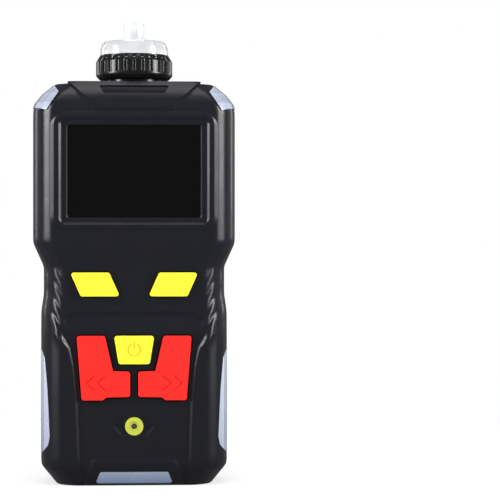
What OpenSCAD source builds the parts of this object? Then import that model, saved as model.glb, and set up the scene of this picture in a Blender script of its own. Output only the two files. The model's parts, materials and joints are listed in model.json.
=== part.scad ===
// Portable pumped gas detector, drawn standing on its base.
// Millimetres. +X is to the right seen from the front, the front faces -Y, +Z is up.
// The origin is the middle of the base, on the plane where the front and rear covers meet.

/* [Case] */
// Width of the upper body
body_w = 85.6; // [82:0.1:104]
// Height of the case, without its raised crown and the inlet
body_h = 168.5; // [165:0.5:205]
// Width across the waist
waist_w = 76.6; // [72:0.1:82]
// Width of the lower body
lower_w = 78.8; // [76:0.1:96]
// Width of the foot where it stands
foot_w = 66.4; // [60:0.1:72]
// Width of the flat top, between the shoulder slopes
top_w = 67.8; // [62:0.1:78]
// Depth of the front cover, forward of the joint plane
front_d = 24.2; // [22:0.1:30]
// Depth of the rear cover, behind the joint plane
rear_d = 25; // [24:0.1:31]
// Wall of the covers
wall = 2.4; // [2:0.1:2.9]
// Height of the sloping foot
foot_h = 7.8; // [6:0.1:10]
// How far the waist lies behind the front face
waist_dip = 1.4; // [0.8:0.1:2]
// How far the raised parts of the front stand proud
relief = 0.6; // [0.3:0.1:1]
// How far the raised crown stands above the top
crown_h = 0.9; // [0.5:0.1:1.5]
// Width of the crown at the top
crown_w = 56.6; // [44:0.1:60]

/* [Display] */
// Width of the visible window
screen_w = 55.2; // [46:0.1:57]
// Height of the visible window
screen_h = 38.5; // [30:0.1:39]
// Distance from the window's middle to the top of the case
screen_drop = 37.2; // [34:0.1:40]
// Width of the sloped bezel around the window
bezel = 2.9; // [2:0.1:3]
// Thickness of the window pane
pane_t = 1; // [0.8:0.1:1.1]

/* [Keys] */
// How far every key travels
key_travel = 0.8; // [0.4:0.1:1]
// Clearance around every key
key_gap = 0.3; // [0.2:0.05:0.4]
// Height of the caps above the surface
key_rise = 1.3; // [0.8:0.1:2]
// Radius of the keys' corners
key_r = 1; // [0.5:0.1:1.2]
// Radius of the stems behind the keys
stem_r = 1.6; // [1.2:0.1:2]

/* [Inlet] */
// Radius of the inlet neck
neck_r = 11.8; // [9.5:0.1:13]
// Radius of the knurled nut
nut_r = 16.3; // [15.8:0.1:20]
// Height of the knurled nut
nut_h = 10.9; // [10.5:0.1:14]
// Number of slots around the nut
nut_slots = 28; // [16:1:36]
// Radius of the hose spigot
spigot_r = 4.15; // [3:0.05:5]
// Radius of the bore through the hose spigot
spigot_bore = 2.75; // [1.5:0.05:2.9]
// Length of the hose spigot
spigot_l = 7.7; // [5:0.1:12]

/* [Battery pack] */
// Height of the pack
pack_h = 82.3; // [78:0.1:90]
// Wall of the pack
pack_wall = 2; // [1.6:0.1:2.4]
// Thickness of the wall that closes the battery bay
bay_wall = 2.4; // [2:0.1:3.2]
// Width of the latch
latch_w = 19; // [14:0.1:24]
// Travel of the latch
latch_travel = 2; // [1.5:0.1:2.5]
// Gap between the pack and the case
pack_gap = 0.3; // [0.2:0.05:0.5]

/* [Belt clip] */
// Length of the lever
clip_l = 74.2; // [62:0.1:78]
// Greatest half width of the lever
clip_half = 14.9; // [14:0.1:18]
// Thickness of the lever
clip_t = 2.2; // [1.8:0.1:2.6]
// Height of the pivot above the back of the case
clip_pivot_rise = 4.6; // [4.4:0.1:6]
// Radius of the pivot pin
clip_pin_r = 1; // [0.8:0.05:1.2]
// Thickness of the base plate
clip_plate_t = 1.6; // [1.4:0.1:2]

/* [Hidden] */
$fn = 48;
eps = 0.01;
fit = 0.05;      // radial running clearance of the pivot
seat = 0.1;      // gap around pieces that seat in a pocket
far = 60;        // reach of a cut that clears the case

// ---- Case outline: one row per level [height, half width, depth in front, depth behind] ----
levels = [
    [0, foot_w / 2, front_d - 5.4, rear_d - 6.5],
    [foot_h, lower_w / 2, front_d - 0.6, rear_d - 0.4],
    [foot_h + 3.2, lower_w / 2, front_d, rear_d],
    [64, lower_w / 2, front_d, rear_d],
    [72.5, lower_w / 2, front_d - waist_dip, rear_d],
    [80, waist_w / 2, front_d - waist_dip, rear_d],
    [91.5, waist_w / 2, front_d - waist_dip, rear_d],
    [101.5, body_w / 2, front_d, rear_d],
    [body_h - 11.1, body_w / 2, front_d, rear_d],
    [body_h - 8.3, body_w / 2 - 0.9, front_d - 0.6, rear_d - 0.6],
    [body_h - 4.1, (body_w + top_w) / 4 + 0.4, front_d - 3.3, rear_d - 3.7],
    [body_h, top_w / 2, front_d - 8.2, rear_d - 8.5]
];
panel_x = 31.1;          // half width of the flat back panel
top_wall = wall + 0.6;

function half_w(z) = lookup(z, [for (l = levels) [l[0], l[1]]]);
function front_at(z) = lookup(z, [for (l = levels) [l[0], l[2]]]);
function rear_at(z) = lookup(z, [for (l = levels) [l[0], l[3]]]);
function heights(lo, hi) = concat(
    [lo],
    [for (l = levels) if (l[0] > lo + eps && l[0] < hi - eps) l[0]],
    [hi]
);

// Right-hand half of the case's section at height z, pulled in by s, from front to rear
function half_ring(z, s) =
    let (w = half_w(z) - s, f = s - front_at(z), r = rear_at(z) - s)
    let (k = min(1, (r - f) / 44), panel = min(panel_x - s, w - 5))
    let (band = max(2.5, 0.85 * (w - panel - 2.4)))
    [[w - 8.6, f], [w - 4.6, f + 2.6], [w - 1.6, f + 7.5 * k], [w, f + 16 * k],
     [w, r - 16 * k], [w - 2.4, r - band], [panel, r]];
function ring(z, s) =
    let (half = half_ring(z, s))
    [each [for (p = half) [p[0], p[1], z]],
     each [for (i = [len(half) - 1 : -1 : 0]) [-half[i][0], half[i][1], z]]];

// Skin over a stack of equal rings, each counter-clockwise seen from above
module loft(rings) {
    n = len(rings[0]);
    top = (len(rings) - 1) * n;
    polyhedron(
        points = [for (r = rings) each r],
        faces = [
            [for (j = [0 : n - 1]) j],
            [for (j = [n - 1 : -1 : 0]) top + j],
            for (i = [0 : len(rings) - 2], j = [0 : n - 1])
                let (a = i * n + j, b = i * n + (j + 1) % n)
                each [[a, a + n, b + n], [a, b + n, b]]
        ]
    );
}

// The case pulled in by s all round, its top pulled down by t and its base raised by b
module case_shape(s, t, b) {
    loft([for (z = heights(b, body_h - t)) ring(z, s)]);
}

// ---- Small helpers ----
// An outline in X and Z, pulled from y0 back to y1
module slab(y0, y1) {
    translate([0, y1, 0]) rotate([90, 0, 0]) linear_extrude(y1 - y0) children();
}
// An outline in Y and Z, pulled from x0 to x1
module across(x0, x1) {
    translate([x0, 0, 0]) rotate([90, 0, 90]) linear_extrude(x1 - x0) children();
}
// A round bar along Y
module rod(x, z, y0, y1, r) {
    translate([x, y1, z]) rotate([90, 0, 0]) cylinder(h = y1 - y0, r = r);
}
// A block given by its corners
module block(lo, hi) {
    translate(lo) cube(hi - lo);
}
// A rectangle with round corners, centred at c
module round_rect(c, w, h, r) {
    translate(c) {
        square([w - 2 * r, h], center = true);
        square([w, h - 2 * r], center = true);
        for (x = [-1, 1], z = [-1, 1])
            translate([x * (w / 2 - r), z * (h / 2 - r)]) circle(r);
    }
}
// A tube along Z with an outer radius r1 and a bore r0
module tube(r0, r1, z0, z1) {
    translate([0, 0, z0]) difference() {
        cylinder(h = z1 - z0, r = r1);
        translate([0, 0, -1]) cylinder(h = z1 - z0 + 2, r = r0);
    }
}
module soften(r) {
    offset(r = r) offset(delta = -r) children();
}
module both_sides() {
    children();
    mirror([1, 0, 0]) children();
}
// What lies outside the case pulled in by s, within an outline seen from the front
module sink(s, y1 = -2) {
    difference() {
        slab(-far, y1) children();
        case_shape(s, s, 0);
    }
}
// A skin of the case from depth s0 to depth s1, within an outline seen from the front
module skin(s0, s1, y1) {
    intersection() {
        slab(-far, y1) children();
        difference() {
            case_shape(s0, s0, 0);
            case_shape(s1, s1, 0);
        }
    }
}
// A wire coil along Z
module coil(r, wire, turns, height) {
    sides = 6;
    steps = 14 * turns;
    points = [
        for (i = [0 : steps], j = [0 : sides - 1])
            let (a = 360 * turns * i / steps, b = -360 * j / sides)
            [(r + wire * cos(b)) * cos(a), (r + wire * cos(b)) * sin(a),
             wire + (height - 2 * wire) * i / steps + wire * sin(b)]
    ];
    last = steps * sides;
    polyhedron(
        points = points,
        faces = [
            [for (j = [0 : sides - 1]) j],
            [for (j = [sides - 1 : -1 : 0]) last + j],
            for (i = [0 : steps - 1], j = [0 : sides - 1])
                let (a = i * sides + j, b = i * sides + (j + 1) % sides)
                each [[a, a + sides, b + sides], [a, b + sides, b]]
        ]
    );
}

// ---- Places that several pieces share ----
seam_z = pack_h + pack_gap;          // underside of the rear cover
bay_top = seam_z + 2;                // top of the floor above the pack
pack_y = bay_wall + pack_gap;        // front of the pack
screen_z = body_h - screen_drop;
inner_front = wall - front_d;        // inside of the front wall
waist_inner = inner_front + waist_dip;
board_t = 1.6;
board_y = 8.6 - front_d;             // front of the main board
switch_h = 2;
switch_y = board_y - switch_h;       // top of the key switches
membrane_y = switch_y - 0.1;         // rear of the key membrane
module_y = inner_front + 0.5;        // front of the display module
module_t = 2.5;
screw_x = body_w / 2 - 14.3;
screw_zs = [body_h - 58.1, body_h - 16.8];
low_screw_x = lower_w / 2 - 9.4;
low_screw_z = 14;
boss_r = 3;
boss_y = board_y + board_t + 1;      // front end of the bosses in the front cover
screw_r = 0.95;
head_r = 1.5;
head_y = 6;                          // seat of the rear screws' heads
post_places = [[screw_x + 1, 100], [20, 13]];
crown_z = body_h + crown_h;

// ---- Outlines seen from the front ----
module screen_opening(grow = 0) {
    round_rect([0, screen_z], screen_w + 2 * grow, screen_h + 2 * grow, 1 + grow / 2);
}
module frame_outline(grow = 0) {
    round_rect([0, screen_z + 0.2], 2 * (body_w / 2 - 8.6) + 2 * grow, 49.3 + 2 * grow, 6 + grow);
}
module soft_key_outline(side) {
    scale([side, 1]) soften(key_r)
        polygon([[26.6, 89.1], [10.4, 89.1], [5.95, 79.2], [22.2, 79.2]]);
}
module power_key_outline() {
    soften(key_r + 0.2) polygon([[-8.4, 62.8], [8.4, 62.8], [6.45, 51], [-6.45, 51]]);
}
module arrow_key_outline(side) {
    scale([side, 1]) soften(key_r)
        polygon([[23.9, 62.8], [12.2, 62.8], [8.8, 48.1], [1.7, 47.9], [1.7, 37.4],
                 [11.6, 37.2], [13, 36], [21.8, 36]]);
}
module base_lens_outline() {
    soften(0.9) polygon([[-16.3, 0.8], [-14.2, 6], [14.2, 6], [16.3, 0.8]]);
}
module side_lens_outline() {
    e = lower_w / 2;
    polygon([[e + 4, 61], [e, 57.5], [e - 2.1, 53.6], [e - 3.3, 40.5], [e - 4.3, 20.5],
             [e - 3.6, 17], [e + 0.2, 12.2], [e + 4, 9]]);
}
module corner_lens_outline() {
    polygon([[top_w / 2 + 4, body_h + 4.4], [top_w / 2, body_h], [top_w / 2 - 2.5, body_h - 3.7],
             [body_w / 2 - 6.3, body_h - 11.6], [body_w / 2 - 0.3, body_h - 10.4],
             [body_w / 2 + 4, body_h - 9.5]]);
}
module lower_panel_outline() {
    e = lower_w / 2;
    difference() {
        both_sides() polygon([[0, 72.3], [e - 15.9, 72.3], [e - 4.3, 67.5], [e - 12.2, 57.8],
                              [e - 14, 50.2], [e - 15, 40.5], [e - 16.1, 7.3], [e - 16.6, -1],
                              [0, -1]]);
        polygon([[-21.8, -2], [-17, 10.5], [17, 10.5], [21.8, -2]]);
    }
}
module crown_outline() {
    polygon([[-crown_w / 2 - 1.1, crown_z + 1], [-17.5, body_h - 8.7], [-16, body_h - 11],
             [16, body_h - 11], [17.5, body_h - 8.7], [crown_w / 2 + 1.1, crown_z + 1]]);
}
module label_outline() {
    soften(0.8) polygon([[-14.8, body_h - 1], [14.8, body_h - 1], [12.6, body_h - 4.5],
                         [-12.6, body_h - 4.5]]);
}
module groove(p, q, t) {
    n = [p[1] - q[1], q[0] - p[0]] / norm(q - p) * t / 2;
    polygon([p + n, q + n, q - n, p - n]);
}
module waist_grooves() {
    e = waist_w / 2;
    pitch = 7.2;
    for (i = [-1 : 2]) {
        drop = pitch * i;
        knee = [e - 5.6, 84.9 - drop];
        groove([e + 1.2, 91.6 - drop], knee, 0.9);
        groove(knee, [e - 10.5, 76.6 - drop], 0.9);
    }
}

// ---- Covers ----
module crown(s = 0) {
    intersection() {
        slab(-far, eps) crown_outline();
        translate([0, 0, crown_h])
            loft([for (z = heights(body_h - 14, body_h)) ring(z, s - relief)]);
    }
}
module rear_crown() {
    across(-crown_w / 2, crown_w / 2)
        polygon([[0, body_h - 1], [0, crown_z], [13.4, crown_z], [15, body_h - 0.2], [14, body_h - 1]]);
}
module case_shell() {
    difference() {
        union() {
            case_shape(0, 0, 0);
            crown();
            rear_crown();
            slab(-front_d - relief, -front_d + 1) frame_outline();
        }
        case_shape(wall, top_wall, wall);
        translate([0, 0, body_h + 0.1]) linear_extrude(crown_h) round_rect([0, 0], 34.4, 27, 13.4);
        translate([0, 0, body_h - far / 2]) cylinder(h = far, r = neck_r + seat);
    }
}
module gasket_outline(s) {
    offset(delta = -s) polygon([
        each [for (z = heights(0, body_h)) [half_w(z), z]],
        each [for (l = [len(levels) - 1 : -1 : 0]) [-levels[l][1], levels[l][0]]]
    ]);
}
module gasket_track(s, depth, y1) {
    slab(-depth, y1) difference() {
        gasket_outline(0.7 + s);
        gasket_outline(1.7 - s);
        translate([0, body_h]) square([2 * neck_r + 3, 10], center = true);
    }
}
module front_cover() {
    color("#26282d") difference() {
        union() {
            intersection() {
                case_shell();
                block([-far, -far, -1], [far, 0, 2 * body_h]);
            }
            both_sides() {
                for (z = screw_zs) {
                    rod(screw_x, z, boss_y, 0, boss_r);
                    block([screw_x, boss_y, z - 1], [half_w(z) - wall / 2, -0.5, z + 1]);
                }
                rod(low_screw_x, low_screw_z, boss_y, 0, boss_r);
                block([low_screw_x, boss_y, low_screw_z - 1],
                      [lower_w / 2 - wall / 2, -0.5, low_screw_z + 1]);
                for (p = post_places)
                    rod(p[0], p[1], inner_front - 1, board_y - eps, 2.2);
            }
        }
        // window, its sloped bezel and the seat of the pane
        slab(-far, 0) screen_opening();
        hull() {
            slab(-front_d - relief - eps, -front_d - relief) screen_opening(bezel);
            slab(-front_d - relief, -front_d + 0.4) screen_opening();
        }
        slab(inner_front - pane_t - seat, 0) screen_opening(1.4 + seat);
        slab(-far, 0.4 - front_d - relief) difference() {
            frame_outline(0.25);
            frame_outline(-0.25);
        }
        // openings for the keys
        both_sides() slab(-far, -2) offset(delta = key_gap) soft_key_outline(1);
        both_sides() slab(-far, -2) offset(delta = key_gap) arrow_key_outline(1);
        slab(-far, -2) offset(delta = key_gap) power_key_outline();
        // pockets for the lenses, and a light window behind each
        sink(1.4, -4) both_sides() corner_lens_outline();
        sink(1.4, -8) both_sides() side_lens_outline();
        sink(1.4) base_lens_outline();
        sink(wall + 1, -6) both_sides() offset(delta = -1.6) corner_lens_outline();
        sink(wall + 1, -11) both_sides() offset(delta = -1.6) side_lens_outline();
        sink(wall + 1) offset(delta = -1.6) base_lens_outline();
        // relief of the front
        sink(0.8) lower_panel_outline();
        sink(0.45) both_sides() waist_grooves();
        difference() {
            slab(-far, -2) label_outline();
            crown(0.5);
        }
        slab(-far, 1.4 - front_d) soften(1)
            polygon([[-8.5, 25], [-5.4, 28.8], [5.4, 28.8], [8.5, 25], [5.4, 21.2], [-5.4, 21.2]]);
        rod(0, 25, -far, -2, 3.8 + seat);
        // screws and seal
        both_sides() {
            for (z = screw_zs) rod(screw_x, z, boss_y - 1, 1, screw_r);
            rod(low_screw_x, low_screw_z, boss_y - 1, 1, screw_r);
            for (p = post_places) rod(p[0], p[1], board_y - 4.4, 0, 0.8);
        }
        gasket_track(0, 0.8, eps);
    }
}

latch_z = pack_h - 16.3;             // bottom of the latch's window
slope_y = rear_d - 2.3;              // the sloping top of the back, at the plugs and the socket
slope_z = body_h - 5.7;
slope_tilt = 36;
clip_z = body_h - 27.5;              // height of the clip's pivot
clip_y = rear_d + clip_pivot_rise;
plate_y = rear_d - 0.9;              // rear of the recess for the clip's base plate
clip_screw_x = 15.3;
clip_screw_z = body_h - 13.6;
plug_x = 24.7;
socket_x = 9.6;
bar_x = -12.6;
bar_y = 14.2;
bar_z = body_h - 1.2;
contact_xs = [-6, 0, 6];
contact_z = pack_h - 10;

module on_slope(x) {
    translate([x, slope_y, slope_z]) rotate([slope_tilt - 90, 0, 0]) children();
}
module plate_outline(grow = 0) {
    z = clip_screw_z;
    offset(r = 1) offset(delta = grow - 1) union() {
        translate([-19.4, z - 5.6]) square([38.8, 9.5]);
        translate([-15.5, z - 10]) square([31, 8]);
        translate([-11.2, z - 19]) square([22.4, 14]);
    }
}
// The tooth of the latch in Y and Z; its slope lets the pack tilt away under the cover
module tooth_outline(grow = 0) {
    back = rear_d - 0.6;
    front = rear_d - 3.9 - grow;
    polygon([[front, pack_h - 0.4], [front, pack_h + 0.95 + grow], [back, pack_h + 0.2 + grow],
             [back + grow, pack_h + 0.2 + grow], [back + grow, pack_h - 0.4]]);
}
module rear_cover() {
    color("#26282d") difference() {
        union() {
            intersection() {
                case_shell();
                block([-far, 0, seam_z], [far, far, 2 * body_h]);
            }
            intersection() {
                case_shape(0, 0, 0);
                union() {
                    block([-far, 0, seam_z], [far, far, bay_top]);
                    block([-far, 0, -1], [far, bay_wall, bay_top]);
                }
            }
            both_sides() for (z = screw_zs)
                rod(screw_x, z, 0, rear_d - wall / 2, boss_r + 0.4);
            // screw pillars and pads behind the clip's base plate
            both_sides()
                rod(clip_screw_x, clip_screw_z, rear_d - 7, rear_d - 1.5, 3);
            on_slope(socket_x) translate([0, 0, -4.6]) linear_extrude(3.4)
                round_rect([0, 0], 13.4, 6.4, 3.1);
        }
        // recess for the clip's base plate
        slab(plate_y, far) plate_outline(0.2);
        both_sides() rod(clip_screw_x, clip_screw_z, rear_d - 6, far, 1.25);
        // wells of the case screws
        both_sides() {
            for (z = screw_zs) {
                rod(screw_x, z, head_y, far, head_r + 0.15);
                rod(screw_x, z, -1, far, screw_r + 0.15);
            }
            rod(low_screw_x, low_screw_z, -1, far, screw_r + 0.15);
            rod(low_screw_x, low_screw_z, bay_wall - 1.4, far, head_r + 0.3);
        }
        // plugs, charging socket and lanyard slot
        for (side = [-1, 1])
            on_slope(side * plug_x) translate([0, 0, -1.5]) cylinder(h = 10, r = 4.8 + seat);
        on_slope(socket_x) translate([0, 0, -1.6]) linear_extrude(12)
            round_rect([0, 0], 11.6, 4.6, 2.25);
        on_slope(socket_x) translate([0, 0, -12]) linear_extrude(12)
            round_rect([0, 0], 9.2, 3.5, 1.6);
        block([bar_x - 3.2, bar_y - 2.2, body_h - 5.4], [bar_x + 3.2, bar_y + 2.4, 2 * body_h]);
        translate([bar_x - 4.6, bar_y, bar_z]) rotate([0, 90, 0]) cylinder(h = 9.2, r = 0.6);
        // latch and contacts
        across(-5 - 0.3, 5 + 0.3) tooth_outline(0.15);
        for (x = contact_xs) rod(x, contact_z, -1, far, 0.9);
    }
}
module case_gasket() {
    color("#1c1c1e") gasket_track(seat, 0.7, 0);
}
module case_screws() {
    color("#5a5c60") both_sides() {
        for (z = screw_zs) {
            rod(screw_x, z, -9, head_y, screw_r);
            difference() {
                rod(screw_x, z, head_y, head_y + 1.6, head_r);
                rod(screw_x, z, head_y + 0.8, head_y + 2, 0.7);
            }
        }
        rod(low_screw_x, low_screw_z, -9, bay_wall - 1.4, screw_r);
        difference() {
            rod(low_screw_x, low_screw_z, bay_wall - 1.4, bay_wall - 0.1, head_r + 0.1);
            rod(low_screw_x, low_screw_z, bay_wall - 0.8, bay_wall, 0.7);
        }
    }
}

// ---- Display ----
module display_window() {
    color("#0b0c10") slab(inner_front - pane_t - seat / 2, inner_front - seat / 2)
        screen_opening(1.4);
}
module display_gasket() {
    color("#1c1c1e") slab(inner_front, module_y - eps) difference() {
        screen_opening(1.6);
        screen_opening(0.2);
    }
}
module display_module() {
    color("#3a3d42") difference() {
        slab(module_y, module_y + module_t) screen_opening(1.9);
        slab(module_y - 1, module_y + 0.3) screen_opening(-0.6);
    }
    color("#14161c") slab(module_y + 0.3 + eps, module_y + 1) screen_opening(-0.8);
}

// ---- Keys ----
// A cap through the wall, a flange that stops behind it and a stem to its switch
module key(face_y, wall_y, stems) {
    flange_y = wall_y + 0.2;
    difference() {
        union() {
            slab(face_y, flange_y + eps) children();
            slab(flange_y, flange_y + 0.8) offset(delta = key_gap + 0.7) children();
            for (s = stems) rod(s[0], s[1], flange_y + 0.7, switch_y + 0.2, stem_r);
        }
        slab(face_y + 1.6, flange_y + 0.1) offset(delta = -1.4) children();
    }
}
soft_stem = [16.3, 84.2];
arrow_stem = [14.8, 48.5];
power_stem = [0, 57];
lower_face = 0.8 - front_d;          // surface of the recessed lower panel
soft_face = waist_dip - front_d;

module soft_key(side) {
    color("#f6e22a") key(soft_face - key_rise + 0.2, waist_inner, [[side * soft_stem[0], soft_stem[1]]])
        soft_key_outline(side);
}
module soft_key_left() { soft_key(-1); }
module soft_key_right() { soft_key(1); }
module power_key() {
    color("#f6e22a") difference() {
        key(lower_face - key_rise, inner_front, [power_stem]) power_key_outline();
        // ring and bar of the power sign, cut shallow
        slab(-far, lower_face - key_rise + 0.25) translate(power_stem) {
            difference() {
                circle(2.9);
                circle(2.2);
                translate([0, 3]) square([2.2, 4], center = true);
            }
            translate([0, 1.9]) square([0.7, 3.2], center = true);
        }
    }
}
module arrow_key(side) {
    color("#e2231a") difference() {
        key(lower_face - key_rise - 0.2, inner_front, [[side * arrow_stem[0], arrow_stem[1]]])
            arrow_key_outline(side);
        // two chevrons, cut shallow
        slab(-far, lower_face - key_rise + 0.05) scale([side, 1]) for (x = [15.4, 19.9]) {
            groove([x - 3.6, 46.4], [x, 43.2], 0.8);
            groove([x, 43.2], [x - 3.6, 40], 0.8);
        }
    }
}
module back_key() { arrow_key(-1); }
module forward_key() { arrow_key(1); }

stem_places = [
    for (side = [-1, 1]) [side * soft_stem[0], soft_stem[1]],
    for (side = [-1, 1]) [side * arrow_stem[0], arrow_stem[1]],
    power_stem
];
module key_membrane() {
    color("#8a8d90") difference() {
        slab(membrane_y - 0.6, membrane_y) round_rect([0, 63], 58, 60, 3);
        for (p = stem_places) rod(p[0], p[1], -far, 0, stem_r + 0.3);
    }
}
module key_switches() {
    color("#2f3236") for (p = stem_places) difference() {
        block([p[0] - 3, switch_y, p[1] - 3], [p[0] + 3, board_y - eps, p[1] + 3]);
        rod(p[0], p[1], -far, switch_y + 0.2 + key_travel + 0.4, stem_r + 0.25);
    }
}

// ---- Boards, lights and sound ----
module main_board() {
    top = body_h - 13.5;
    color("#1d5a38") difference() {
        slab(board_y, board_y + board_t) round_rect([0, (8 + top) / 2], 64, top - 8, 2);
        both_sides() for (p = post_places) rod(p[0], p[1], -far, 0, 1);
    }
    // processor, memory and screening can on the rear of the board
    color("#17181a") {
        slab(board_y + board_t, board_y + board_t + 1.2) round_rect([-12, 78], 12, 12, 0.5);
        slab(board_y + board_t, board_y + board_t + 1) round_rect([8, 76], 7, 9, 0.4);
    }
    color("#9a9da0")
        slab(board_y + board_t, board_y + board_t + 1.8) round_rect([0, 36], 22, 18, 1);
}
module board_screws() {
    y = board_y + board_t;
    color("#8f9194") both_sides() for (p = post_places) {
        rod(p[0], p[1], board_y - 4.2, y + eps, 0.8);
        difference() {
            rod(p[0], p[1], y, y + 1.1, 1.6);
            rod(p[0], p[1], y + 0.5, y + 2, 0.6);
        }
    }
}
module lens(s0, side, y1) {
    color("#b8bcd0") skin(s0, 1.3, y1) scale([side, 1]) offset(delta = -seat) children();
}
module corner_lens_left() { lens(-0.3, -1, -4.1) corner_lens_outline(); }
module corner_lens_right() { lens(-0.3, 1, -4.1) corner_lens_outline(); }
module side_lens_left() { lens(0, -1, -8.1) side_lens_outline(); }
module side_lens_right() { lens(0, 1, -8.1) side_lens_outline(); }
module base_lens() {
    color("#7d8caa") skin(0, 1.3, -4) offset(delta = -seat) base_lens_outline();
}
// Strips of lamps behind the side, shoulder and base lenses
module alarm_lights() {
    x = lower_w / 2 - wall - 4.6;
    y = board_y + board_t + 0.2;
    top_x = body_w / 2 - 13.4;
    top_z = body_h - 12.4;
    color("#e8e8e0") {
        both_sides() {
            block([x, y, 18], [x + 1, y + 5, 52]);
            for (z = [22, 35, 48]) block([x + 1, y + 1, z - 1.5], [x + 2, y + 4, z + 1.5]);
            block([top_x, -13, top_z], [top_x + 6, -5, top_z + 1]);
            block([top_x + 1.5, -11, top_z + 1], [top_x + 4.5, -8, top_z + 2]);
        }
        block([-12, board_y - 3, 4.4], [12, board_y + 3, 5.4]);
        for (side = [-1, 1])
            block([side * 8 - 1.5, board_y - 2.6, 5.4], [side * 8 + 1.5, board_y, 6.4]);
    }
}
module sounder_grommet() {
    color("#b8be3c") difference() {
        union() {
            rod(0, 25, 0.9 - front_d, inner_front - seat, 3.8);
            rod(0, 25, 0.7 - front_d, 1.4 - front_d, 3.7);
        }
        rod(0, 25, -far, 0, 1.2);
        rod(0, 25, -far, 1.1 - front_d, 2.1);
    }
}
module sounder() {
    color("#1a1a1c") difference() {
        rod(0, 25, inner_front + seat, board_y - eps, 6);
        rod(0, 25, -far, inner_front + 1, 1.2);
    }
}
module vibration_motor() {
    y = board_y + board_t;
    color("#b5b8bc") {
        rod(0, 56, y + eps, y + 3, 5);
        block([-2, y + eps, 59], [2, y + 0.5, 64]);
    }
}

// ---- Sampling path ----
neck_top = crown_z + 7.2;
nut_z = crown_z + 1.4;
pump_lo = [-22.9, 4, body_h - 29.5];
pump_hi = [4.5, 17, body_h - 11.5];
hose_bend = 4;
manifold_x = -8;
sensor_y = 2.3;
sensor_l = 16.2;
sensor_xs = [-11.3, 11.3];
sensor_zs = [bay_top + 13.4, bay_top + 36.4];
manifold_y = sensor_y + sensor_l + 0.5;
manifold_top = sensor_zs[1] + 13;

module inlet_neck() {
    color("#1b1c1f") difference() {
        union() {
            translate([0, 0, body_h - top_wall - 2.4]) cylinder(h = 2.3, r = neck_r + 1.8);
            translate([0, 0, body_h - top_wall - 1]) cylinder(h = neck_top - body_h + top_wall + 1, r = neck_r);
            translate([0, 0, nut_z + 0.5]) cylinder(h = neck_top - nut_z - 0.5, r = neck_r + 0.6);
            translate([0, 0, body_h - 10.5]) cylinder(h = 6, r = 1.4);
        }
        translate([0, 0, body_h - top_wall]) cylinder(h = far, r = neck_r - 2.6);
        translate([0, 0, body_h - 20]) cylinder(h = 30, r = 0.8);
    }
}
// A hose that leaves along Z and turns into Y within a quarter circle
module bent_hose(x, y, z, length, r0, r1) {
    translate([x, y, z]) {
        tube(r0, r1, 0, length);
        translate([0, hose_bend, 0]) rotate([0, 90, 0]) rotate([0, 0, 180])
            rotate_extrude(angle = 90) translate([hose_bend, 0]) difference() {
                circle(r1);
                circle(r0);
            }
    }
}
module inlet_hose() {
    color("#c9ccd0")
        bent_hose(0, pump_lo[1] - hose_bend, body_h - 19.5, 13, 1.4, 2.4);
}
module pump() {
    color("#4a4d52") block(pump_lo, pump_hi);
    color("#8f9296") translate([pump_lo[0] - 1.4, 10.5, (pump_lo[2] + pump_hi[2]) / 2])
        rotate([0, 90, 0]) cylinder(h = 1.4 + eps, r = 5);
    color("#26282b") block([-14, 4 - 1.2, pump_lo[2] + 3], [-6, 4 + eps, pump_lo[2] + 12]);
}
module pump_hose() {
    z = manifold_top + 3;
    top = pump_lo[2] + 5;
    color("#c9ccd0") translate([manifold_x, manifold_y + 1.9, z - 3 + eps]) difference() {
        union() {
            cylinder(h = top - z + 3 + 1.9, r = 1.6);
            translate([0, 0, top - z + 3]) rotate([90, 0, 0])
                cylinder(h = manifold_y + 1.9 - pump_hi[1] - eps, r = 1.6);
            translate([0, 0, top - z + 3]) sphere(r = 1.6);
        }
        translate([0, 0, -1]) cylinder(h = top - z + 4, r = 1);
        translate([0, 0, top - z + 3]) rotate([90, 0, 0]) cylinder(h = far, r = 1);
    }
}
module sensor_places() {
    for (x = sensor_xs, z = sensor_zs) translate([x, z]) children();
}
module sensor_outline() {
    mid = (sensor_zs[0] + sensor_zs[1]) / 2;
    round_rect([0, mid], 2 * sensor_xs[1] + 22.6, manifold_top * 2 - 2 * mid, 2);
}
module sensor_board() {
    color("#1d5a38") slab(sensor_y - board_t - 0.2, sensor_y - 0.2) sensor_outline();
}
module board_connector() {
    y = board_y + board_t;
    color("#d8d4c4") block([-7, y + eps, sensor_zs[0] - 6], [7, sensor_y - board_t - 0.2 - eps, sensor_zs[0] - 1]);
}
module gas_sensors() {
    color("#c4c7ca") slab(sensor_y, sensor_y + sensor_l) sensor_places() circle(10);
    color("#d8b64a") slab(sensor_y - 0.2 + eps, sensor_y + eps) sensor_places()
        for (a = [90, 210, 330]) translate([6.7 * cos(a), 6.7 * sin(a)]) circle(0.8);
}
module sensor_gasket() {
    color("#1c1c1e") slab(sensor_y + sensor_l + eps, manifold_y - eps) sensor_places() difference() {
        circle(9.8);
        circle(6);
    }
}
module sensor_manifold() {
    y1 = rear_d - wall - seat;
    color("#6a6e74") difference() {
        slab(manifold_y, y1) sensor_outline();
        slab(0, manifold_y + 1) sensor_places() circle(5);
        // passages between the four chambers
        slab(0, manifold_y + 1.6) {
            for (z = sensor_zs) translate([0, z]) square([2 * sensor_xs[1], 1.6], center = true);
            translate([sensor_xs[0], (sensor_zs[0] + sensor_zs[1]) / 2])
                square([1.6, sensor_zs[1] - sensor_zs[0]], center = true);
        }
        translate([manifold_x, manifold_y + 1.9, sensor_zs[1]]) cylinder(h = far, r = 0.9);
    }
}

// ---- Inlet nut and filter ----
lip_r = nut_r - 1.7;                 // hole in the top of the nut
flange_r = nut_r - 1.3;
nut_top = nut_z + nut_h;
nut_floor = neck_top + 0.6;
dome_top = nut_top + 5.6;
dome_r = lip_r - 0.15;

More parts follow.
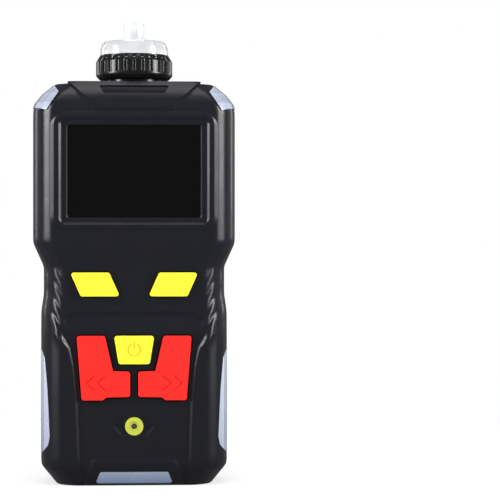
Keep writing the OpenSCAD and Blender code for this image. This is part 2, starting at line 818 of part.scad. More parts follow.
module lock_nut() {
    color("#141518") difference() {
        rotate_extrude() difference() {
            polygon([[0, nut_z], [nut_r - 2.1, nut_z], [nut_r, nut_z + 1.9],
                     [nut_r, nut_top - 2.9], [dome_r, nut_top], [0, nut_top]]);
            square([neck_r + 0.6 + seat, 3 * body_h]);
            translate([0, nut_floor]) square([flange_r + seat, nut_top - 1.5 - nut_floor]);
            translate([0, nut_top - 1.6]) square([lip_r, 3]);
        }
        for (i = [0 : nut_slots - 1]) rotate([0, 0, 360 * i / nut_slots])
            translate([nut_r - 0.6, -0.7, nut_z + 3.3]) cube([3, 1.4, nut_h]);
    }
}
module filter_housing() {
    color("#e6eaec", 0.5) difference() {
        rotate_extrude() {
            polygon([[0, nut_floor + 0.2], [flange_r, nut_floor + 0.2], [flange_r, nut_top - 1.7],
                     [dome_r, nut_top - 1.7], [dome_r, nut_top + 0.6],
                     for (a = [0 : 15 : 90])
                         [dome_r - 2.2 + 2.2 * cos(a), nut_top + 0.6 + (dome_top - nut_top - 0.6) * sin(a)],
                     [0, dome_top]]);
            translate([0, dome_top - 1]) square([spigot_r, spigot_l + 1]);
        }
        translate([0, 0, nut_floor - 1]) cylinder(h = 2.8, r = neck_r + 0.3);
        translate([0, 0, nut_floor]) cylinder(h = dome_top - 1.6 - nut_floor, r = neck_r - 0.8);
        translate([0, 0, nut_floor]) cylinder(h = far, r = spigot_bore);
    }
}
module filter_disc() {
    color("#f4f4f2") translate([0, 0, neck_top + 1.3]) cylinder(h = 1, r = neck_r + 0.2);
}
module filter_ring() {
    color("#1c1c1e") translate([0, 0, neck_top + 0.65]) rotate_extrude()
        translate([neck_r - 0.5, 0]) circle(0.6);
}

// ---- Belt clip ----
lever_top = clip_z + 19.6;
lever_end = lever_top - clip_l;
lever_y = clip_y + 5;                // outer face of the lever at the pivot

module lever_profile() {
    z = clip_z;
    e = lever_end;
    outer = [[lever_y + 2.4, lever_top], [lever_y + 0.6, z + 9], [lever_y, z],
             [lever_y, z - 12], [lever_y - 0.8, e + 24], [lever_y - 2.6, e + 13],
             [rear_d + 3.7, e + 6.8], [rear_d + 2.9, e + 4.2], [rear_d + 3.6, e]];
    inner = [for (i = [len(outer) - 1 : -1 : 0])
        [max(outer[i][0] - clip_t - (i > 6 ? 0.2 : 0), rear_d + 0.3), outer[i][1]]];
    polygon(concat(outer, inner));
}
module lever_outline() {
    e = lever_end;
    both_sides() intersection() {
        translate([0, e - 1]) square([clip_half + 1, clip_l + 2]);
        soften(2.4) union() {
            polygon([[-5, lever_top], [12.5, lever_top], [12.5, clip_z + 3], [clip_half - 0.8, clip_z - 4],
                     [clip_half, clip_z - 8], [clip_half, clip_z - 12], [11.9, e + 16],
                     [10, e + 6.8], [10, e + 2], [-5, e + 2]]);
            translate([-5, e]) square([15.6, 6.4]);
        }
    }
}
module clip_lever() {
    color("#2b2d30") difference() {
        union() {
            intersection() {
                across(-far, far) lever_profile();
                slab(0, 2 * far) lever_outline();
            }
            // lugs that turn on the pin
            both_sides() across(5.4, 8.2) union() {
                translate([clip_y, clip_z]) circle(2.4);
                translate([clip_y, clip_z - 2.4]) square([lever_y - clip_y - clip_t / 2, 4.8]);
            }
        }
        translate([-far, clip_y, clip_z]) rotate([0, 90, 0]) cylinder(h = 2 * far, r = clip_pin_r + fit);
        rod(0, lever_top - 5.6, 0, 2 * far, 2);
        // grip grooves
        for (i = [0 : 2])
            block([-9.9, lever_y - 0.5, lever_top - 9.3 - 4 * i], [9.9, far, lever_top - 8.6 - 4 * i]);
        // panel beside the raised middle
        slab(lever_y - 0.5, far) difference() {
            polygon([[-9, lever_end + 11], [-10.6, clip_z - 20], [10.6, clip_z - 20], [9, lever_end + 11]]);
            polygon([[-3.7, lever_end + 12], [-5.6, clip_z - 19], [5.6, clip_z - 19], [3.7, lever_end + 12]]);
        }
    }
}
module clip_plate() {
    color("#202225") difference() {
        union() {
            slab(plate_y + eps, plate_y + clip_plate_t) plate_outline(0);
            both_sides() across(8.5, 10.4) union() {
                translate([clip_y, clip_z]) circle(2.4);
                translate([plate_y + 1, clip_z - 2.4]) square([clip_y - plate_y - 1, 4.8]);
            }
        }
        both_sides() rod(clip_screw_x, clip_screw_z, 0, far, 1.5);
        translate([-far, clip_y, clip_z]) rotate([0, 90, 0]) cylinder(h = 2 * far, r = clip_pin_r);
    }
}
module clip_pin() {
    color("#b9bcc0") translate([-10.4, clip_y, clip_z]) rotate([0, 90, 0])
        cylinder(h = 20.8, r = clip_pin_r);
}
module clip_spring() {
    color("#c6c9cc") {
        translate([-5, clip_y, clip_z]) rotate([0, 90, 0])
            coil(clip_pin_r + 0.55, 0.35, 7, 10);
        block([-4.9, plate_y + clip_plate_t + 0.2, clip_z - 7], [-4.3, plate_y + clip_plate_t + 0.8, clip_z]);
    }
}
module clip_screws() {
    y = plate_y + clip_plate_t;
    color("#c9ccd0") both_sides() {
        rod(clip_screw_x, clip_screw_z, rear_d - 6, y + eps, 1.25);
        difference() {
            intersection() {
                rod(clip_screw_x, clip_screw_z, y, y + 2, 3.05);
                translate([clip_screw_x, y - 2.6, clip_screw_z]) sphere(r = 4.7);
            }
            translate([clip_screw_x, y + 1.6, clip_screw_z]) for (a = [45, 135])
                rotate([0, a, 0]) cube([3.6, 1.8, 0.7], center = true);
        }
    }
}

// ---- Plugs, socket and lanyard bar ----
module screw_plug(side) {
    color("#2a2c30") on_slope(side * plug_x) translate([0, 0, -1.4]) {
        cylinder(h = 1.6, r = 4.8);
        translate([0, 0, 1.6]) cylinder(h = 0.3, r1 = 4.8, r2 = 4.4);
    }
}
module screw_plug_left() { screw_plug(1); }
module screw_plug_right() { screw_plug(-1); }
module charging_socket() {
    color("#a8abb0") on_slope(socket_x) translate([0, 0, -8.6]) {
        difference() {
            linear_extrude(7) round_rect([0, 0], 8.9, 3.2, 1.5);
            translate([0, 0, 1]) linear_extrude(7) round_rect([0, 0], 8.3, 2.6, 1.25);
        }
        linear_extrude(6.4) square([6.7, 0.7], center = true);
    }
}
module lanyard_bar() {
    color("#c9ccd0") translate([bar_x - 4.5, bar_y, bar_z]) rotate([0, 90, 0])
        cylinder(h = 9, r = 0.6);
}

// ---- Battery pack ----
module pack_shape(s) {
    intersection() {
        case_shape(s, s, s);
        block([-far, pack_y, s], [far, far, pack_h - s]);
    }
}
latch_half = latch_w / 2;
pocket_y = rear_d - 4.1;             // floor of the latch's pocket
module battery_cover() {
    color("#26282d") difference() {
        union() {
            difference() {
                pack_shape(0);
                intersection() {
                    case_shape(pack_wall, pack_wall, pack_wall);
                    block([-far, 0, pack_wall], [far, far, pack_h - pack_wall]);
                }
            }
            // box behind the latch, and pillars for the screws
            intersection() {
                case_shape(0.5, 0.5, 0.5);
                union() {
                    block([-latch_half - 1.5, pocket_y - 1.6, latch_z - 1.6],
                          [latch_half + 1.5, far, pack_h - 1]);
                    both_sides() rod(22.2, 7.8, pack_y + 2.1, far, 3);
                }
            }
        }
        block([-latch_half - 0.3, pocket_y, latch_z], [latch_half + 0.3, far, pack_h + 1]);
        // shallow bare panel
        slab(rear_d - 0.3, far) round_rect([0, 46.2], 44, 29.4, 2);
        both_sides() {
            rod(22.2, 7.8, 0, far, screw_r + 0.1);
            rod(22.2, 7.8, rear_d - 3.4, far, head_r + 0.2);
        }
    }
    // stop for the latch's spring
    color("#26282d") block([-1.2, pocket_y - eps, latch_z + 4.2], [1.2, pocket_y + 1.7, latch_z + 5.4]);
}
module battery_tray() {
    color("#303338") difference() {
        intersection() {
            case_shape(pack_wall + seat, pack_wall + seat, pack_wall + seat);
            block([-far, pack_y, pack_wall + seat], [far, pack_y + 2, pack_h - pack_wall - seat]);
        }
        for (x = contact_xs) rod(x, contact_z, 0, far, 2);
        both_sides() rod(22.2, 7.8, 0, far, screw_r);
    }
}
module battery() {
    color("#3c6fb0") slab(pack_y + 2.3, pack_y + 16.3) round_rect([0, 36.1], 54, 49.4, 2);
}
module protection_board() {
    color("#1d5a38") slab(pack_y + 2.2, pack_y + 3.4) round_rect([0, contact_z], 30, 14, 1);
}
module battery_contacts() {
    color("#d9b85c") for (x = contact_xs) {
        rod(x, contact_z, -1.4, bay_wall + 0.1, 0.9);
        rod(x, contact_z, -2.4, -eps, 1.6);
    }
}
module pack_contacts() {
    color("#d9b85c") for (x = contact_xs) rod(x, contact_z, pack_y + 0.1, pack_y + 2.1, 2);
}
module pack_screws() {
    color("#5a5c60") both_sides() {
        rod(22.2, 7.8, pack_y + 0.4, rear_d - 3.4, screw_r);
        difference() {
            rod(22.2, 7.8, rear_d - 3.4, rear_d - 2, head_r);
            rod(22.2, 7.8, rear_d - 2.6, rear_d - 1, 0.7);
        }
    }
}
module battery_latch() {
    bottom = latch_z + latch_travel + 0.1;
    pad_top = bottom + 10.1;
    bar_bottom = pad_top + 1.3;
    y0 = pocket_y + 0.2;
    color("#1d1f22") difference() {
        union() {
            block([-latch_half, y0, bottom], [latch_half, y0 + 1.8, pack_h - 0.3]);
            block([-latch_half, y0, bottom], [latch_half, rear_d - 0.4, pad_top]);
            block([-latch_half, y0, bar_bottom], [latch_half, rear_d - 0.6, pack_h - 0.3]);
            across(-5, 5) tooth_outline();
        }
        // slot for the spring, and the finger ribs
        block([-1.6, y0 - 1, bottom + 1.8], [1.6, y0 + 1.8, bottom + 9.4]);
        for (i = [0 : 8])
            block([-latch_half - 1, rear_d - 0.9, bottom + 0.8 + i], [latch_half + 1, far, bottom + 1.3 + i]);
    }
}
module latch_spring() {
    color("#c6c9cc") translate([0, pocket_y + 1.1, latch_z + 5.5]) coil(0.6, 0.2, 6, 5.9);
}

front_cover();
rear_cover();
case_gasket();
case_screws();
board_screws();
display_window();
display_gasket();
display_module();
soft_key_left();
soft_key_right();
power_key();
back_key();
forward_key();
key_membrane();
key_switches();
main_board();
corner_lens_left();
corner_lens_right();
side_lens_left();
side_lens_right();
base_lens();
alarm_lights();
sounder_grommet();
sounder();
vibration_motor();
inlet_neck();
inlet_hose();
pump();
pump_hose();
sensor_manifold();
sensor_gasket();
gas_sensors();
sensor_board();
board_connector();
lock_nut();
filter_housing();
filter_disc();
filter_ring();
clip_plate();
clip_lever();
clip_pin();
clip_spring();
clip_screws();
screw_plug_left();
screw_plug_right();
charging_socket();
lanyard_bar();
battery_contacts();
battery_cover();
battery_tray();
battery();
protection_board();
pack_contacts();
pack_screws();
battery_latch();
latch_spring();
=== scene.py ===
"""Portable gas detector: the finishes, rounded edges and small repeated parts around its CAD frame."""

import json
import math

import bmesh
import bpy
import numpy as np
from mathutils import Matrix, Vector

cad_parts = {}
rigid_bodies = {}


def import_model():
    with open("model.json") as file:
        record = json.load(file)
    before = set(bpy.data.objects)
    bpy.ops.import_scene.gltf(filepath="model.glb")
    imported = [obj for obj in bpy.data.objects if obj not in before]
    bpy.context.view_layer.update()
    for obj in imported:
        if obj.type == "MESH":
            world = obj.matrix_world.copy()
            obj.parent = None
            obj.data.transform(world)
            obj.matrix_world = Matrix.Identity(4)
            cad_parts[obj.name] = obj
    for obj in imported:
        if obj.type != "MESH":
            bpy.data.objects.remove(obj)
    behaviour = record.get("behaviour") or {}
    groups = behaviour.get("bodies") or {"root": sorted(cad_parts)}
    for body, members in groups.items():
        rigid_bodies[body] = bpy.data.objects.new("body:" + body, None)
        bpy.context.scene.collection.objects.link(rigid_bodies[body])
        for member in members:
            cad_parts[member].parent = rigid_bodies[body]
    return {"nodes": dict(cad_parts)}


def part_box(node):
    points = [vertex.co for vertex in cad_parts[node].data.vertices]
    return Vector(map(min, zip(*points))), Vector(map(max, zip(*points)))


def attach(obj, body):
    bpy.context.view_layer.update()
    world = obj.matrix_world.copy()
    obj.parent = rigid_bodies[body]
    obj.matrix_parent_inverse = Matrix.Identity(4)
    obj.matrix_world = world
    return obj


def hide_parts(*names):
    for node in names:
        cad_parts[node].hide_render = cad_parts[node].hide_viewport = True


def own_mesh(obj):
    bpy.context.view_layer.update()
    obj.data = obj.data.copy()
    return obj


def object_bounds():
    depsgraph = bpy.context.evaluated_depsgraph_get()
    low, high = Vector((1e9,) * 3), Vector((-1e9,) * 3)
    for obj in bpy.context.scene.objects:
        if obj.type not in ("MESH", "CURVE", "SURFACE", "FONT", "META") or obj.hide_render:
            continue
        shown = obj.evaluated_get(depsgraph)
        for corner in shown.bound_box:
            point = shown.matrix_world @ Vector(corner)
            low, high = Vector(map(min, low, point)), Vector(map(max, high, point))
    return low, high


bl_info = {
    "name": "Portable gas detector",
    "version": (1, 0, 0),
    "blender": (4, 5, 0),
    "location": "3D View > Sidebar > Gas detector",
    "description": "Builds the visible surfaces of a portable gas detector around its CAD frame",
    "category": "Object",
}

for spare in list(bpy.data.objects):
    bpy.data.objects.remove(spare)
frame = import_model()
CAD_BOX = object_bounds()
NODES = frame["nodes"]
MM = 0.001


# ---- Sizes and colours a user may change ----
def linear(code):
    """An sRGB hex colour as linear values."""
    parts = [int(code[i:i + 2], 16) / 255 for i in (1, 3, 5)]
    return tuple(p / 12.92 if p <= 0.04045 else ((p + 0.055) / 1.055) ** 2.4 for p in parts) + (1,)


def length(name, description, default):
    return bpy.props.FloatProperty(
        name=name, description=description, default=default * MM, min=0, precision=5,
        subtype="DISTANCE", unit="LENGTH")


def paint(name, description, code):
    return bpy.props.FloatVectorProperty(
        name=name, description=description, default=linear(code)[:3], size=3, min=0, max=1,
        subtype="COLOR")


class DetectorSizes(bpy.types.PropertyGroup):
    soft_edge: length("Soft edge", "Radius of the long moulded edges of the covers", 1.1)
    fine_edge: length("Fine edge", "Radius of the small moulded edges", 0.22)
    key_edge: length("Key edge", "Radius round the faces of the keys", 0.35)
    screw_recess: length("Screw recess", "Width of a screw's cross recess", 0.55)
    grain: length("Grain", "Width of one bump of the covers' spark-eroded texture", 0.42)
    nut_slots: bpy.props.IntProperty(
        name="Nut slots", description="Number of grip slots round the knurled nut",
        default=28, min=8, max=60)
    latch_ribs: bpy.props.IntProperty(
        name="Latch ribs", description="Number of finger ribs on the battery latch",
        default=9, min=2, max=20)


class DetectorColours(bpy.types.PropertyGroup):
    case: paint("Case", "Colour of the moulded covers", "#17181e")
    clip: paint("Clip", "Colour of the belt clip", "#111217")
    yellow: paint("Yellow keys", "Colour of the soft and power keys", "#ffee32")
    red: paint("Red keys", "Colour of the arrow keys", "#ff1e16")
    lens: paint("Lenses", "Colour of the alarm light lenses", "#b4b9ca")
    grommet: paint("Sounder", "Colour of the sounder's grommet", "#b8be3c")
    floor: paint("Floor", "Colour of the floor", "#f4f4f4")


def sizes():
    return bpy.context.scene.detector_sizes


def colours():
    return bpy.context.scene.detector_colours


# ---- Node trees ----
def add(tree, kind, inputs=(), **settings):
    """Adds a node with its settings; an input takes a value, a socket or a node's first output."""
    made = tree.nodes.new(kind)
    for key, value in settings.items():
        setattr(made, key, value)
    for key, value in dict(inputs).items():
        if isinstance(value, bpy.types.Node):
            value = value.outputs[0]
        if isinstance(value, bpy.types.NodeSocket):
            tree.links.new(value, made.inputs[key])
        else:
            made.inputs[key].default_value = value
    return made


def bare_tree(block):
    """Gives a material or a world an empty node tree."""
    block.use_nodes = True
    block.node_tree.nodes.clear()
    return block.node_tree


def dimmed(code, share):
    """A linear colour at a share of its brightness."""
    return [c * share for c in code[:3]] + [1]


def finish(name, colour, rough, grain=0.4, depth=0.02, fleck=0.1, patch=12, worn=0.0,
           shade=None, shader=()):
    """A moulded, cast or drawn surface.

    grain is the width in mm of its smallest bumps and depth their height in mm, fleck how far
    the grain lightens the colour, patch the width in mm of slow changes in gloss, and worn how
    pale the rubbed edges are. shade(tree, colour socket) may return another colour socket, and
    shader holds more settings of the shader.
    """
    made = bpy.data.materials.new(name)
    tree = bare_tree(made)
    code = linear(colour) if isinstance(colour, str) else tuple(colour) + (1,)
    place = add(tree, "ShaderNodeTexCoord").outputs["Object"]
    fine = add(tree, "ShaderNodeTexNoise", {
        "Vector": place, "Scale": 1 / (grain * MM), "Detail": 1.5, "Roughness": 0.6})
    slow = add(tree, "ShaderNodeTexNoise", {
        "Vector": place, "Scale": 1 / (patch * MM), "Detail": 3, "Roughness": 0.55})
    pale = [min(1, c + (1 - c) * fleck) for c in code[:3]] + [1]
    speckle = add(tree, "ShaderNodeMapRange", {"Value": fine, "From Min": 0.5, "From Max": 0.78})
    tone = add(tree, "ShaderNodeMix", {0: speckle, 6: code, 7: pale}, data_type="RGBA").outputs[2]
    dull = add(tree, "ShaderNodeMapRange", {
        "Value": slow, "From Min": 0.35, "From Max": 0.65, "To Max": 0.16})
    tone = add(tree, "ShaderNodeMix", {0: dull, 6: tone, 7: dimmed(code, 0.8)},
               data_type="RGBA").outputs[2]
    if worn:
        edge = add(tree, "ShaderNodeNewGeometry").outputs["Pointiness"]
        rub = add(tree, "ShaderNodeMapRange", {
            "Value": edge, "From Min": 0.53, "From Max": 0.62, "To Max": worn})
        broken = add(tree, "ShaderNodeMath", {0: rub, 1: slow}, operation="MULTIPLY")
        rubbed = [min(1, c * 2 + 0.05) for c in code[:3]] + [1]
        tone = add(tree, "ShaderNodeMix", {0: broken, 6: tone, 7: rubbed},
                   data_type="RGBA").outputs[2]
    if shade:
        tone = shade(tree, tone)
    gloss = add(tree, "ShaderNodeMapRange", {
        "Value": slow, "From Min": 0.3, "From Max": 0.7,
        "To Min": max(0.02, rough * 0.88), "To Max": min(1, rough * 1.12)})
    bump = add(tree, "ShaderNodeBump", {"Height": fine, "Strength": 1, "Distance": depth * MM})
    skin = add(tree, "ShaderNodeBsdfPrincipled", {
        "Base Color": tone, "Roughness": gloss, "Normal": bump, **dict(shader)})
    add(tree, "ShaderNodeOutputMaterial", {"Surface": skin})
    return made


def brushed(name, colour, rough, across):
    """A drawn or turned metal: fine lines that repeat along one axis."""
    made = bpy.data.materials.new(name)
    tree = bare_tree(made)
    code = linear(colour)
    place = add(tree, "ShaderNodeTexCoord").outputs["Object"]
    stretch = [0.05, 0.05, 0.05]
    stretch["XYZ".index(across)] = 1
    line = add(tree, "ShaderNodeMapping", {"Vector": place, "Scale": stretch})
    marks = add(tree, "ShaderNodeTexNoise", {
        "Vector": line, "Scale": 1 / (0.12 * MM), "Detail": 2})
    gloss = add(tree, "ShaderNodeMapRange", {
        "Value": marks, "From Min": 0.3, "From Max": 0.7,
        "To Min": rough * 0.7, "To Max": rough * 1.3})
    tone = add(tree, "ShaderNodeMix", {0: marks, 6: dimmed(code, 0.86), 7: code},
               data_type="RGBA").outputs[2]
    bump = add(tree, "ShaderNodeBump", {
        "Height": marks, "Strength": 0.6, "Distance": 0.004 * MM})
    skin = add(tree, "ShaderNodeBsdfPrincipled", {
        "Base Color": tone, "Roughness": gloss, "Normal": bump, "Metallic": 1.0})
    add(tree, "ShaderNodeOutputMaterial", {"Surface": skin})
    return made


def along(tree, axis, start, end):
    """How far a place lies from start to end along an axis, from 0 to 1, with both in mm."""
    place = add(tree, "ShaderNodeTexCoord").outputs["Object"]
    here = add(tree, "ShaderNodeSeparateXYZ", {0: place}).outputs[axis]
    return add(tree, "ShaderNodeMapRange", {
        "Value": here, "From Min": start * MM, "From Max": end * MM})


def painted_gap_shade(tree, tone, face, depth, gap_shade):
    """Painted shade: the colour darkens below a front face, in the gap round a key and in its engraved
    signs.
    """
    return add(tree, "ShaderNodeMix", {
        0: along(tree, "Y", face, face + depth), 6: tone, 7: linear(gap_shade)},
        data_type="RGBA").outputs[2]


def painted_top_light(tree, tone, low, high, z0, z1, strength):
    """Painted light from above: the colour turns from low to high between two heights."""
    painted_light_ramp = add(tree, "ShaderNodeMix", {
        0: along(tree, "Z", z0, z1), 6: linear(low), 7: linear(high)}, data_type="RGBA").outputs[2]
    return add(tree, "ShaderNodeMix", {0: strength, 6: tone, 7: painted_light_ramp}, data_type="RGBA").outputs[2]


def boards(tree, tone):
    """Copper tracks and pads under the green solder mask, on a 2.54 mm grid."""
    place = add(tree, "ShaderNodeTexCoord").outputs["Object"]
    upright = add(tree, "ShaderNodeMapping", {"Vector": place, "Rotation": (math.pi / 2, 0, 0)})
    tracks = add(tree, "ShaderNodeTexBrick", {
        "Vector": upright, "Scale": 1 / (10 * MM), "Mortar Size": 0.02, "Row Height": 0.254,
        "Brick Width": 0.9})
    return add(tree, "ShaderNodeMix", {
        0: tracks.outputs["Fac"], 6: linear("#0f4a2c"), 7: linear("#1d6b41")},
        data_type="RGBA").outputs[2]


# ---- Finishes, named for what each one is ----
PALETTE = {}


def case_finishes():
    """The black plastics of the covers, the clip and the latch, and the window."""
    # PC/ABS moulded in a spark-eroded tool: a soft sheen and a fine grain that only shows in a
    # highlight. The real grain is about 0.1 mm, drawn four times coarser so that it shows.
    PALETTE["case_plastic"] = finish(
        "moulded_pc_abs_black", colours().case, 0.3, sizes().grain / MM, depth=0.016, fleck=0,
        patch=14, shader={"Specular IOR Level": 0.4})
    # Glass-filled nylon, moulded: streaky gloss, a finer grain than the covers'.
    PALETTE["clip_plastic"] = finish(
        "moulded_glass_filled_nylon", colours().clip, 0.32, 0.3, depth=0.015, fleck=0.02,
        patch=9, shader={"Specular IOR Level": 0.38})
    # Nylon, moulded: a little duller, because fingers rub it.
    PALETTE["latch_plastic"] = finish(
        "moulded_nylon_black", "#0c0d10", 0.38, 0.3, fleck=0.02, patch=7,
        shader={"Specular IOR Level": 0.35})
    # Hard-coated acrylic pane, printed black from behind: a mirror-smooth dark face.
    PALETTE["window"] = finish(
        "hard_coated_acrylic_black", "#030304", 0.06, 3, depth=0.0005, fleck=0, patch=30,
        shader={"Coat Weight": 0.3, "Coat Roughness": 0.03, "Specular IOR Level": 0.35})


def key_finishes():
    """Silicone rubber keys, moulded and matt coated: a full colour with a soft highlight."""
    rubber = {"Subsurface Weight": 0.05, "Specular IOR Level": 0.3,
              "Subsurface Radius": (0.001, 0.0006, 0.0003)}
    # each gets painted shade in the gap round it and a darker engraved sign, 0.8 mm below its face
    for name, colour, face, gap_shade in (("soft_key", colours().yellow, -23.9, "#3d2c05"),
                                     ("power_key", colours().yellow, -24.7, "#3d2c05"),
                                     ("arrow_key", colours().red, -24.9, "#2a0503")):
        PALETTE[name] = finish(
            "moulded_silicone_" + name, colour, 0.5, 0.25, depth=0.008, fleck=0, patch=10,
            shade=lambda tree, tone, face=face, gap_shade=gap_shade: painted_gap_shade(tree, tone, face, 0.8, gap_shade),
            shader=rubber)


def lens_finishes():
    """Frosted polycarbonate over the alarm lights: milky, with painted light that makes each lens
    paler towards its top.
    """
    pale = colours().lens
    # which lens, colour, roughness, coat, and its painted light: colours at two heights in mm and
    # their strength
    for side, colour, rough, thick, painted_light_ramp in (
            ("", pale, 0.24, 0.6, ("#858ea8", "#b9bfd0", 156, 168, 0.8)),
            ("side", pale, 0.28, 0.5, ("#9098ae", "#bfc5d4", 12, 58, 0.75)),
            ("base", "#8794ac", 0.26, 0.5, ("#6f7f9c", "#9aa6bc", 1, 6, 0.8))):
        PALETTE[side + "_lens" if side else "lens"] = finish(
            "_".join(filter(None, ("frosted_polycarbonate", side))), colour, rough, 0.5,
            depth=0.001, fleck=0, patch=40,
            shade=lambda tree, tone, painted_light_ramp=painted_light_ramp: painted_top_light(tree, tone, *painted_light_ramp),
            shader={"Coat Weight": thick, "Coat Roughness": 0.12})


def rubber_finishes():
    """The elastomers, and the glossy and clear plastics of the inlet."""
    # Thermoplastic elastomer, moulded.
    PALETTE["grommet"] = finish(
        "moulded_elastomer_olive", colours().grommet, 0.45, 0.2, depth=0.01, fleck=0.08, patch=3)
    # Nitrile rubber, moulded: matt with a faint bloom.
    PALETTE["black_rubber"] = finish(
        "moulded_nitrile_rubber", "#0e0f12", 0.55, 0.3, fleck=0.02, patch=6,
        shader={"Sheen Weight": 0.03, "Specular IOR Level": 0.35})
    PALETTE["silicone"] = finish(
        "moulded_silicone_grey", "#55585d", 0.55, depth=0.01, fleck=0.05, patch=8)
    # Extruded silicone tube: milky.
    PALETTE["tube"] = finish(
        "extruded_silicone_tube", "#d8dcdd", 0.35, 0.5, depth=0.006, patch=5,
        shader={"Subsurface Weight": 0.3, "Subsurface Radius": (0.001, 0.001, 0.001)})
    # Acetal, moulded and polished: glossy black, paler where the slots' edges are rubbed.
    PALETTE["neck_plastic"] = finish(
        "moulded_acetal_black", "#0b0c0f", 0.27, 0.6, depth=0.006, fleck=0.02, patch=8, worn=0.15,
        shader={"Coat Weight": 0.1, "Coat Roughness": 0.1})
    # Polycarbonate, moulded clear: lets most light through, and scatters the rest in a milky haze.
    PALETTE["clear_plastic"] = finish(
        "clear_polycarbonate", "#f6f8f9", 0.14, 1.4, depth=0.002, fleck=0, patch=6,
        shader={"Transmission Weight": 0.6, "IOR": 1.5})
    # Sintered PTFE filter: chalk white, very fine pores.
    PALETTE["membrane"] = finish("sintered_ptfe_white", "#f2f2ef", 0.8, 0.2, fleck=0.2, patch=4)


def metal_finishes():
    """Plated, drawn, turned and spun metals: a bright colour under fine tool lines."""
    for name, metal, colour, rough, across in (
            ("display_metal", "stamped_steel_dark", "#54585e", 0.35, "X"),
            ("screw_steel", "nickel_plated_steel", "#c4c8cc", 0.22, "Y"),
            ("black_steel", "blackened_steel", "#4a4c50", 0.34, "Y"),
            ("spring_steel", "drawn_spring_steel", "#b9bdc2", 0.28, "X"),
            ("socket_steel", "turned_nickel_silver", "#9fa3a8", 0.3, "X"),
            ("gold", "gold_plated_bronze", "#e0b765", 0.22, "Z"),
            ("sensor_can", "spun_stainless_steel", "#b3b6ba", 0.32, "Y")):
        PALETTE[name] = brushed(metal, colour, rough, across)


def inside_finishes():
    """The boards, the battery and the mouldings inside."""
    # Glass-epoxy laminate under green solder mask.
    PALETTE["circuit"] = finish(
        "glass_epoxy_laminate", "#17603a", 0.3, 0.6, depth=0.01, fleck=0.08, patch=8,
        shade=boards, shader={"Coat Weight": 0.5, "Coat Roughness": 0.1})
    PALETTE["component"] = finish(
        "moulded_epoxy_black", "#1d1e20", 0.5, 0.2, depth=0.015, fleck=0.08, patch=4)
    PALETTE["led"] = finish("epoxy_lens_white", "#efe9d4", 0.25, depth=0.004, patch=3)
    PALETTE["pump_plastic"] = finish("moulded_pps_grey", "#3b3e43", 0.45, fleck=0.06, patch=9)
    # Heat-shrunk PVC sleeve: smooth, with the gloss of a stretched film.
    PALETTE["cell_wrap"] = finish(
        "heat_shrunk_pvc_blue", "#1c4f8f", 0.3, 0.8, fleck=0.05, patch=10,
        shader={"Coat Weight": 0.4, "Coat Roughness": 0.15})


def coat(obj, name):
    """Gives an object one finish of the palette."""
    obj.data.materials.clear()
    obj.data.materials.append(PALETTE[name])
    for face in obj.data.polygons:
        face.material_index = 0
    return obj


def dress(**looks):
    """Gives CAD nodes that stay as they are their finishes."""
    for node, look in looks.items():
        coat(NODES[node], look)


def settle(obj, body, look, *nodes):
    """Puts a finished piece on its body, in place of CAD nodes."""
    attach(obj, body)
    if nodes:
        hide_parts(*nodes)
    return obj


# ---- Meshes ----
def linked(name, data):
    """A new object in the scene for a mesh, a lamp or a camera."""
    obj = bpy.data.objects.new(name, data)
    bpy.context.scene.collection.objects.link(obj)
    return obj


def from_points(name, points, faces=()):
    """An object of loose points or of faces between them, in metres."""
    data = bpy.data.meshes.new(name)
    data.from_pydata(points, [], faces)
    return linked(name, data)


def object_from(mesh, name):
    """Turns an editable mesh into an object."""
    data = bpy.data.meshes.new(name)
    mesh.to_mesh(data)
    mesh.free()
    return linked(name, data)


def merged(node):
    """A CAD node's surface as a mesh with shared corners and whole flat faces."""
    mesh = bmesh.new()
    mesh.from_mesh(NODES[node].data)
    bmesh.ops.remove_doubles(mesh, verts=mesh.verts, dist=2e-6)
    bmesh.ops.dissolve_degenerate(mesh, edges=mesh.edges, dist=1e-6)
    bmesh.ops.dissolve_limit(
        mesh, angle_limit=math.radians(0.6), verts=mesh.verts, edges=mesh.edges)
    mesh.normal_update()
    return mesh


def outward(obj):
    """Makes every closed shell's faces point outwards."""
    mesh = bmesh.new()
    mesh.from_mesh(obj.data)
    bmesh.ops.recalc_face_normals(mesh, faces=mesh.faces)
    mesh.to_mesh(obj.data)
    mesh.free()
    return obj


def applied(obj):
    """Turns an object's modifiers into plain mesh."""
    graph = bpy.context.evaluated_depsgraph_get()
    graph.update()
    data = bpy.data.meshes.new_from_object(
        obj.evaluated_get(graph), preserve_all_data_layers=True, depsgraph=graph)
    obj.modifiers.clear()
    old = obj.data
    obj.data = data
    bpy.data.meshes.remove(old)
    data.name = obj.name
    return obj


def smooth(obj, limit=32):
    """Smooth shading that breaks at edges sharper than limit degrees, with flat faces kept flat."""
    obj.data.shade_smooth()
    obj.data.set_sharp_from_angle(angle=math.radians(limit))
    weigh = obj.modifiers.new("weigh", "WEIGHTED_NORMAL")
    weigh.keep_sharp = True
    weigh.weight = 60
    return applied(obj)


